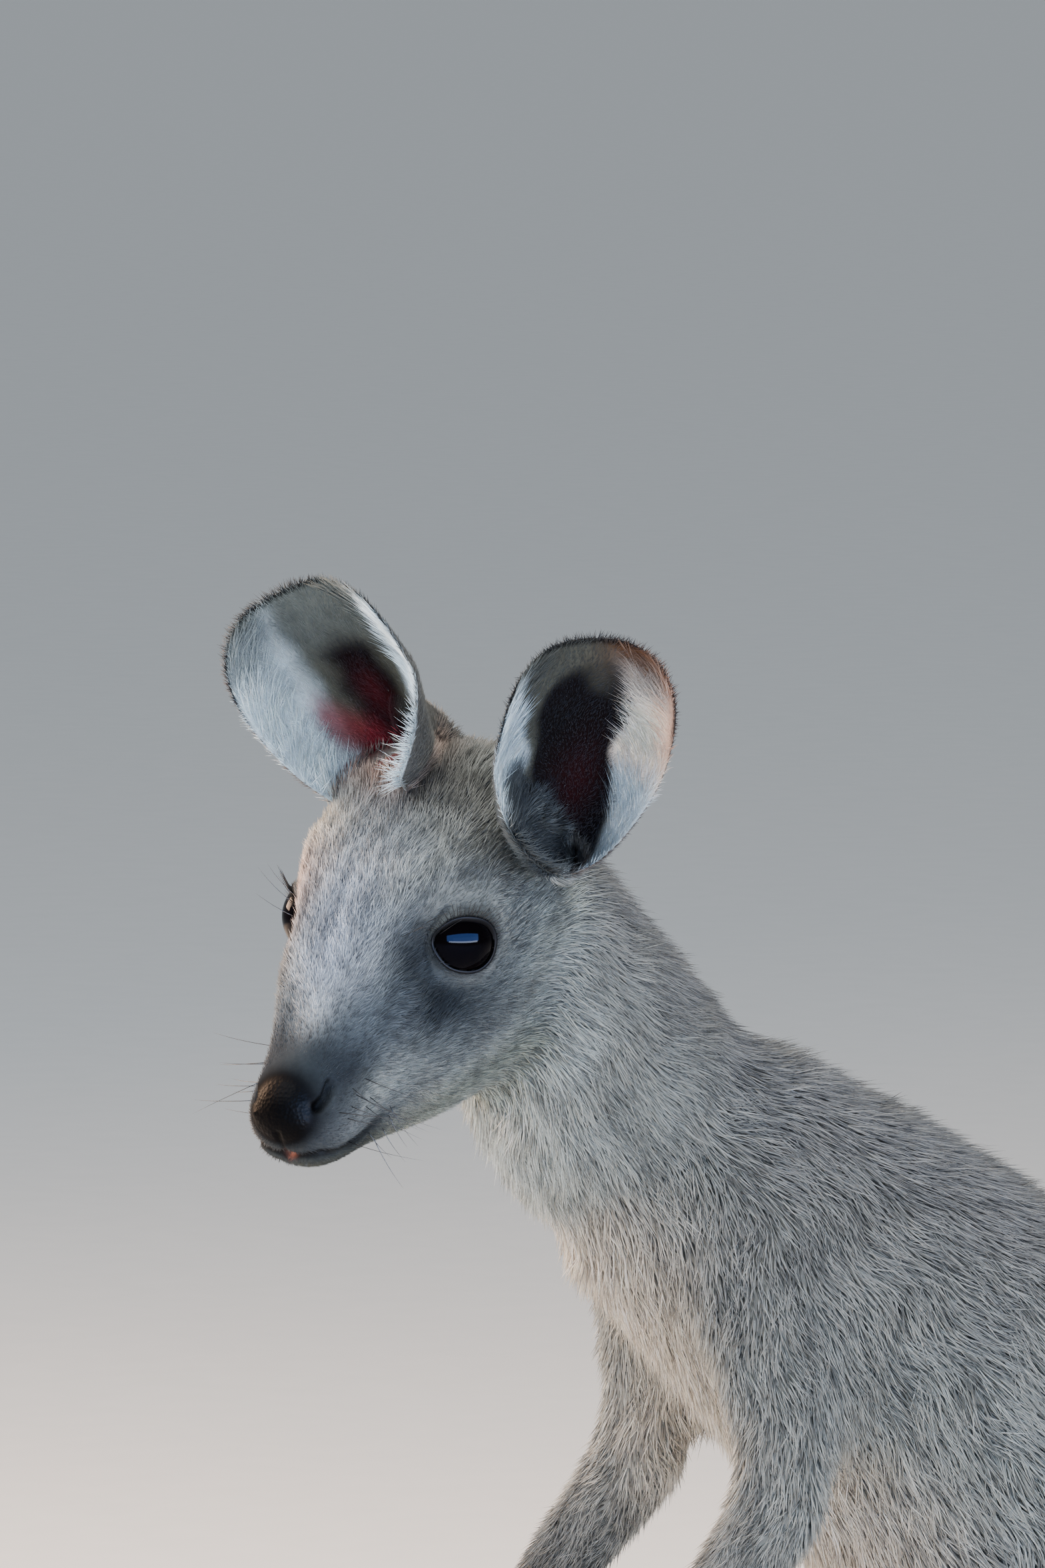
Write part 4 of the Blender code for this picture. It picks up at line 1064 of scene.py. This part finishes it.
relief = node(tree, "Mix", data_type="FLOAT")
tree.links.new(leather.outputs["Fac"], relief.inputs[0])
tree.links.new(down.outputs["Fac"], relief.inputs[2])
tree.links.new(pebbles.outputs["Distance"], relief.inputs[3])
bumps = node(tree, "Bump", {"Strength": 0.35, "Distance": 0.0003, "Height": relief.outputs[0]})
tree.links.new(bumps.outputs["Normal"], shader.inputs["Normal"])
skin.data.materials.clear()
skin.data.materials.append(hide)
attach(skin, "root")
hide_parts(*FLESH, *EAR_NODES)

# ------------------------------------------------------------------ coat
# Fur in tufts: each is a thin closed spike that starts in the skin and lies along the body. They carry the
# skin's markings, darker at the root from their own banding and painted shade deep in the coat, with pale
# and dark ones mixed as in a grizzled coat.
corners = POINTS[TRIANGLES]
AREA = np.linalg.norm(np.cross(corners[:, 1] - corners[:, 0], corners[:, 2] - corners[:, 0]), axis=1) / 2
TRIANGLE_OWNER = OWNER[TRIANGLES[:, 0]]
TRIANGLE_SHARE = (HAIR_SHARE * (BARE < 0.5))[TRIANGLES].mean(1)
PATCH = 0.003  # side of each tuft's patch in its colour map
BAKE_MAP = "OFBake"
DARK_FLECKS, PALE_FLECKS = (0.27, -0.52), (0.76, 0.38)  # past which draw, and what it does to the tone
GRIZZLE = (0.24, 0.0035)  # how far the flecks gather in patches, and how large those are
TUFT_SUNK, FLOOR_GAP = 0.0004, 0.0002  # how deep its foot stands in the skin, and the least height of all of it
TUFT_LENGTHS, TUFT_WIDTHS, TUFT_TONES = (0.70, 1.15), (0.7, 1.2), (0.82, 1.18)  # from least to most
TUFT_SWAY, TUFT_LIFTS = 0.22, 0.30  # how unevenly they lie, in radians, and how unevenly they lift
FULL_WIDTH_FROM = 0.004  # shorter tufts are narrower too

# Dry, soft hair: matt, with hardly a gleam along it, and faint streaks from strand to strand.
fur, tree, shader = material("kangaroo_fur", 0.75, Specular_IOR_Level=0.10)
painted = node(tree, "Attribute", attribute_name="hair")
coordinates = node(tree, "TexCoord")
strands = node(tree, "TexNoise", {"Vector": coordinates.outputs["Object"], "Scale": 1400, "Detail": 2})
streak = node(tree, "MapRange", {"Value": strands.outputs["Fac"], "To Min": 0.80, "To Max": 1.20})
tinted = node(tree, "Mix", data_type="RGBA", blend_type="MULTIPLY")
tinted.inputs[0].default_value = 1.0
tree.links.new(painted.outputs["Color"], tinted.inputs[6])
tree.links.new(streak.outputs["Result"], tinted.inputs[7])
tree.links.new(tinted.outputs[2], shader.inputs["Base Color"])
shader.inputs["Sheen Weight"].default_value = 0.04
shader.inputs["Sheen Roughness"].default_value = 0.5


def unwrapped(name, chosen):
    """An unwrap of the chosen triangles of the skin: the corners' places in it, three to a triangle."""
    sheet = mesh_object(name, POINTS, TRIANGLES[chosen])
    sheet.data.uv_layers.new(name=BAKE_MAP)
    bpy.ops.object.select_all(action="DESELECT")
    sheet.select_set(True)
    bpy.context.view_layer.objects.active = sheet
    bpy.ops.object.mode_set(mode="EDIT")
    bpy.ops.mesh.select_all(action="SELECT")
    bpy.ops.uv.smart_project(angle_limit=math.radians(66), island_margin=0.004)
    bpy.ops.object.mode_set(mode="OBJECT")
    flat = np.empty(len(sheet.data.loops) * 2, np.float32)
    sheet.data.uv_layers[BAKE_MAP].data.foreach_get("uv", flat)
    bpy.data.objects.remove(sheet)
    return flat.reshape(-1, 3, 2)


def coat(name, chosen, tufts, seed, width, root_shade=0.5, lies=None, stretch=1.0,
         flecked=1.0):
    """Grows one piece of coat on the chosen triangles: this many tufts, each about this wide."""
    lies = LIE if lies is None else lies
    draw = np.random.default_rng(seed)
    sheet = unwrapped(name + "_sheet", chosen)
    weight = np.cumsum((AREA * TRIANGLE_SHARE)[chosen])
    spots = (np.arange(tufts) + draw.uniform(0, 1, tufts)) / tufts * weight[-1]
    pick = np.minimum(np.searchsorted(weight, spots), len(chosen) - 1)
    ends = TRIANGLES[chosen[pick]]
    a, b = np.sqrt(draw.uniform(0, 1, tufts)), draw.uniform(0, 1, tufts)
    part = np.stack([1 - a, a * (1 - b), a * b], 1)

    def at(values):
        return (values[ends] * (part[:, :, None] if values.ndim == 2 else part)).sum(1)

    root, normal, lie = at(POINTS), at(WAYS), at(lies)
    normal /= np.linalg.norm(normal, axis=1)[:, None]
    length = at(HAIR_LENGTH) * draw.uniform(*TUFT_LENGTHS, tufts) * stretch
    sway = TUFT_SWAY * draw.normal(size=tufts) + TUFT_SWAY * ripple(root, 0.012, 11)
    across = np.cross(normal, lie)
    lie = lie * np.cos(sway)[:, None] + across * np.sin(sway)[:, None]
    lie /= np.linalg.norm(lie, axis=1)[:, None]
    across = np.cross(normal, lie)
    lift = np.radians(at(HAIR_LIFT)) * (1 + TUFT_LIFTS * draw.normal(size=tufts))
    rise = lie * np.cos(lift)[:, None] + normal * np.sin(lift)[:, None]
    slim = np.minimum(length / FULL_WIDTH_FROM, 1) ** 0.5
    half = (width * draw.uniform(*TUFT_WIDTHS, tufts) * slim / 2)[:, None]
    start = root - normal * TUFT_SUNK
    tip = root + rise * length[:, None]
    left, right = start - across * half, start + across * half
    ridge = start + normal * half * 1.1 - lie * half * 0.5
    points = np.stack([left, right, ridge, tip], 1)
    points[:, :, 2] = np.maximum(points[:, :, 2], FLOOR_GAP)
    base = np.arange(tufts)[:, None, None] * 4
    faces = (base + np.array([[0, 2, 1], [0, 1, 3], [1, 2, 3], [2, 0, 3]])).reshape(-1, 3)
    piece = mesh_object(name, points.reshape(-1, 3), faces)

    tone = np.where(CRISP[ends[:, 0]], markings(root, normal, OWNER[ends[:, 0]]), at(SKIN_COLOUR))
    grizzle = draw.uniform(0, 1, tufts)
    grizzle = grizzle + GRIZZLE[0] * ripple(root, GRIZZLE[1], 21)
    fleck = np.where(grizzle > PALE_FLECKS[0], PALE_FLECKS[1], 0.0)
    fleck = np.where(grizzle < DARK_FLECKS[0], DARK_FLECKS[1], fleck)
    tone = tone * (1 + flecked * fleck)[:, None]
    tone = tone * draw.uniform(*TUFT_TONES, tufts)[:, None]
    # Darker at the foot: the hair's banding together with painted shade deep in the coat; paler at the tip.
    shades = np.array([root_shade, root_shade, root_shade + 0.1, 1.15])
    paint(piece.data, "hair", np.clip(tone[:, None, :] * shades[None, :, None], 0, 1).reshape(-1, 3))

    middle_uv = (sheet[pick] * part[:, :, None]).sum(1)
    patch = np.array([[-0.5, -0.5], [0.5, -0.5], [0.0, -0.3], [0.0, 0.5]]) * PATCH
    flat = (np.clip(middle_uv, PATCH, 1 - PATCH)[:, None, :] + patch).reshape(-1, 2)
    layer = piece.data.uv_layers.new(name=BAKE_MAP)
    layer.data.foreach_set("uv", flat[faces.ravel()].astype(np.float32).ravel())
    piece.data.materials.append(fur)
    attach(piece, "root")
    return piece


middles = corners.mean(1)
on_left = middles[:, 1] > 0
head_here = np.isin(TRIANGLE_OWNER, HEAD_NODES)
face_here = head_here & (in_head(middles)[:, 0] > -0.012)
rump_here = np.isin(TRIANGLE_OWNER, ("hindquarters", "thigh"))
tail_here = np.isin(TRIANGLE_OWNER, ("tail_base", "tail_middle", "tail_end"))
ear_side = {side: (TRIANGLE_OWNER == "ear") & at_ear(middles, side) for side in SIDES}
EAR_SHADE, BODY_SHADE = (0.75, 0.35), (0.5, 1.0)  # how dark the tufts' feet are, and how much is flecked
COATS = (  # name, where, how many tufts, how wide, and its slot
    ("coat_face", face_here, 48000, 0.00036, "grey_fur"),
    ("coat_crown_and_cheeks", head_here & ~face_here, 30000, 0.00045, "grey_fur"),
    ("coat_ear_left", ear_side["left"], 26000, 0.00032, "grey_fur"),
    ("coat_ear_right", ear_side["right"], 26000, 0.00032, "grey_fur"),
    ("coat_neck", TRIANGLE_OWNER == "neck", 30000, 0.00065, "grey_fur"),
    ("coat_chest", np.isin(TRIANGLE_OWNER, ("chest", "upper_arm")), 42000, 0.00075, "pale_fur"),
    ("coat_flank_left", rump_here & on_left, 34000, 0.0010, "grey_fur"),
    ("coat_flank_right", rump_here & ~on_left, 34000, 0.0010, "grey_fur"),
    ("coat_tail", tail_here, 36000, 0.0008, "grey_fur"),
    ("coat_legs", np.isin(TRIANGLE_OWNER, ("shank", "foot")), 36000, 0.0006, "grey_fur"),
    ("coat_arms", np.isin(TRIANGLE_OWNER, ("forearm", "hand")), 20000, 0.0005, "dark_fur"),
)
for seed, (name, here, tufts, width, slot) in enumerate(COATS):
    root_shade, flecked = EAR_SHADE if "ear" in name else BODY_SHADE
    here = np.flatnonzero(here & (TRIANGLE_SHARE > 0))
    coat(name, here, tufts, seed, width, root_shade, flecked=flecked)

# Longer hairs stand on the inner margins of the ears and reach across the hollow.
FRINGE_TUFTS = 2600
for number, side in enumerate(SIDES):
    u, t, proud = in_ear(POINTS, side)
    axes = np.array(ear_frame(side))[:3, :3]
    margin = (OWNER == "ear") & at_ear(POINTS, side) & (proud < EAR_WALL * 0.37) & (np.abs(t) > 0.50)
    margin &= (np.abs(t) < 0.97) & (u > 0.10) & (u < 0.93)
    reach_in = axes[:, 2] * 0.8 + axes[:, 1] * SIDES[side] * (np.sign(t) * 0.75)[:, None]
    reach_in -= WAYS * (reach_in * WAYS).sum(1)[:, None]
    reach_in /= np.maximum(np.linalg.norm(reach_in, axis=1), 1e-9)[:, None]
    here = np.flatnonzero(margin[TRIANGLES].all(1))
    coat("coat_ear_fringe_" + side, here, FRINGE_TUFTS, 40 + number, 0.00034, root_shade=0.8,
         lies=reach_in, stretch=2.9, flecked=0.3)

# ------------------------------------------------------------------ eyes
# Dark wet globes that fill the lids. The iris is so dark a brown that it can't be told from the pupil, and
# the wet film over it mirrors the light as a blue bar.
globe, _, shader = material("wet_dark_eye", 0.06, IOR=1.38, Specular_IOR_Level=0.05)
shader.inputs["Specular Tint"].default_value = (*linear("b4ceff"), 1)
shader.inputs["Base Color"].default_value = (*linear("050304"), 1)
for side in SIDES:
    place = HEAD @ Vector(mirrored(EYE_IN_HEAD, side))
    bpy.ops.mesh.primitive_uv_sphere_add(segments=96, ring_count=64, radius=EYE_RADIUS, location=place)
    eye = bpy.context.object
    eye.name = "eyeball_" + side
    bpy.ops.object.transform_apply(location=True, rotation=True, scale=True)
    eye.data.shade_smooth()
    eye.data.materials.append(globe)
    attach(eye, "root")
    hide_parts("eye_" + side)

# The naked black rims of the lids: a soft bead of dull bare skin on each lid's edge, thicker above.
rim_skin, _, shader = material("naked_black_lid_skin", 0.5, Specular_IOR_Level=0.05)
shader.inputs["Base Color"].default_value = (*linear("060506"), 1)
RIM_POINTS, RIM_SIDES = 96, 8


def round_lid(side, around, past=0.0, above=LID_THICK):
    """Places on the lid's edge at angles round it, so far past the edge and so far above the eyeball."""
    _, _, _, (way, front, top) = lid_angles(np.zeros((1, 3)), side)
    off = lid_edge((around + math.pi) % (2 * math.pi) - math.pi) + past
    swing = front * np.cos(around)[:, None] + top * np.sin(around)[:, None]
    look = way * np.cos(off)[:, None] + swing * np.sin(off)[:, None]
    return mirrored(EYE_IN_HEAD, side) + look * (EYE_RADIUS + above), look, swing


for side in SIDES:
    around = np.arange(RIM_POINTS) / RIM_POINTS * 2 * math.pi
    place, look, swing = round_lid(side, around, math.radians(1.5), 0.0002)
    bead = 0.00055 + 0.00035 * np.maximum(np.sin(around), 0)
    turns = np.arange(RIM_SIDES) / RIM_SIDES * 2 * math.pi
    points = place[:, None] + bead[:, None, None] * (
        look[:, None] * np.cos(turns)[:, None] + swing[:, None] * np.sin(turns)[:, None])
    k = np.arange(RIM_POINTS * RIM_SIDES).reshape(RIM_POINTS, RIM_SIDES)
    nxt, side_on = np.roll(k, -1, 0), np.roll(k, -1, 1)
    quads = np.stack([k, side_on, np.roll(nxt, -1, 1), nxt], -1).reshape(-1, 4)
    rim = mesh_object("lid_rim_" + side, moved(points.reshape(-1, 3), HEAD), quads)
    if side == "left":  # the right one's faces point outwards already, as it is mirrored
        rim.data.flip_normals()
    rim.data.materials.append(rim_skin)
    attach(rim, "root")

# ------------------------------------------------------------------ lashes and whiskers
# Stiff dark hairs, each a long thin closed spike with a bend: lashes along the upper lids, and whiskers in
# loose groups on the lips, over the eyes and under the chin. Being coarser than fur they gleam a little.
bristle, _, shader = material("dark_stiff_hair", 0.4, Specular_IOR_Level=0.4)
shader.inputs["Base Color"].default_value = (*linear("15110f"), 1)
HAIR_STEPS = 6


def bristles(name, roots, ways, bends, lengths, width):
    """Long hairs as one piece: each starts at a root, sets out one way and bends the other on its way."""
    along = np.linspace(0, 1, HAIR_STEPS + 1)
    count = len(roots)
    spine = roots[:, None] + lengths[:, None, None] * (
        ways[:, None] * along[:, None] + bends[:, None] * (along**2)[:, None] * 0.5)
    sideways = np.cross(ways, bends + np.array([0.01, 0.02, 0.03]))
    sideways /= np.linalg.norm(sideways, axis=1)[:, None]
    upright = np.cross(sideways, ways)
    thick = width / 2 * (1 - along[:-1]) ** 0.7
    turns = [sideways[:, None] * math.cos(a) + upright[:, None] * math.sin(a) for a in (0, 2.1, 4.2)]
    rings = [spine[:, :-1] + thick[:, None] * turn for turn in turns]
    points = np.concatenate([np.stack(rings, 2).reshape(count, -1, 3), spine[:, -1:]], 1)
    faces = [[0, 1, 2]]
    for step in range(HAIR_STEPS - 1):
        for k in range(3):
            a, b = step * 3 + k, step * 3 + (k + 1) % 3
            faces += [[b, a, b + 3], [b + 3, a, a + 3]]
    last = (HAIR_STEPS - 1) * 3
    faces += [[last + (k + 1) % 3, last + k, HAIR_STEPS * 3] for k in range(3)]
    faces = (np.arange(count)[:, None, None] * (HAIR_STEPS * 3 + 1) + np.array(faces)).reshape(-1, 3)
    made = mesh_object(name, points.reshape(-1, 3), faces)
    made.data.materials.append(bristle)
    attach(made, "root")
    return made


LASHES, LASH_ARC, LASH_LENGTH = 34, (14, 158), (0.0035, 0.0058)
draw = np.random.default_rng(77)
for side in SIDES:
    around = np.radians(np.linspace(*LASH_ARC, LASHES) + draw.uniform(-2, 2, LASHES))
    place, look, swing = round_lid(side, around, math.radians(2.5), 0.0007)
    ways = look * 0.85 + swing * 0.35 + draw.normal(0, 0.06, (LASHES, 3))
    bristles("lashes_" + side, moved(place, HEAD), turned_by(ways, HEAD), turned_by(swing * 0.45, HEAD),
             draw.uniform(*LASH_LENGTH, LASHES), 0.00022)

WHISKERS = (  # middle of the group, its spread, how many, length, the way they set out
    ((0.046, 0.0135, -0.0200), 0.0050, 9, 0.024, (0.15, 0.95, -0.10)),
    ((0.038, 0.0130, -0.0360), 0.0045, 5, 0.013, (0.10, 0.45, -0.90)),
    ((0.012, 0.0200, 0.0120), 0.0020, 3, 0.016, (0.30, 0.70, 0.75)),
)
for side in SIDES:
    roots, ways, lengths = [], [], []
    for place, loose, count, length, way in WHISKERS:
        spots = np.array(place) + draw.normal(0, loose, (count, 3))
        roots.append(on_skin(spots, side))
        ways.append(mirrored(np.array(way) + draw.normal(0, 0.14, (count, 3)), side))
        lengths.append(length * draw.uniform(0.6, 1.1, count))
    ways = np.concatenate(ways)
    bristles("whiskers_" + side, moved(np.concatenate(roots), HEAD), turned_by(ways, HEAD),
             turned_by(np.tile([-0.55, 0, -0.25], (len(ways), 1)), HEAD), np.concatenate(lengths), 0.00024)

# ------------------------------------------------------------------ claws
# Dark horn claws, one at the end of each finger and toe, finer and rounder than the solids they stand for.
# Horn is smooth but not polished, with a satin gleam and a faint streaky grain from brown to black.
HORN_TONES = ("15110f", "3a302a")
horn, tree, shader = material("dark_horn", 0.45, Specular_IOR_Level=0.25)
coordinates = node(tree, "TexCoord")
grain = node(tree, "TexNoise", {"Vector": coordinates.outputs["Object"], "Scale": 900, "Detail": 3})
tones = node(tree, "ValToRGB", {"Fac": grain.outputs["Fac"]})
for stop, tone in zip(tones.color_ramp.elements, HORN_TONES):
    stop.color = (*linear(tone), 1)
tree.links.new(tones.outputs["Color"], shader.inputs["Base Color"])
ridges = node(tree, "Bump", {"Strength": 0.3, "Distance": 0.0003, "Height": grain.outputs["Fac"]})
tree.links.new(ridges.outputs["Normal"], shader.inputs["Normal"])
for name in sorted(one for one in NODES if one.startswith("claw_")):
    claw = gathered_copy(name.replace("claw_", "horn_"), [name])
    finished(claw, "SUBSURF", levels=2, render_levels=2)
    claw.data.shade_smooth()
    claw.data.materials.append(horn)
    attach(claw, "root")
    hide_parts(name)
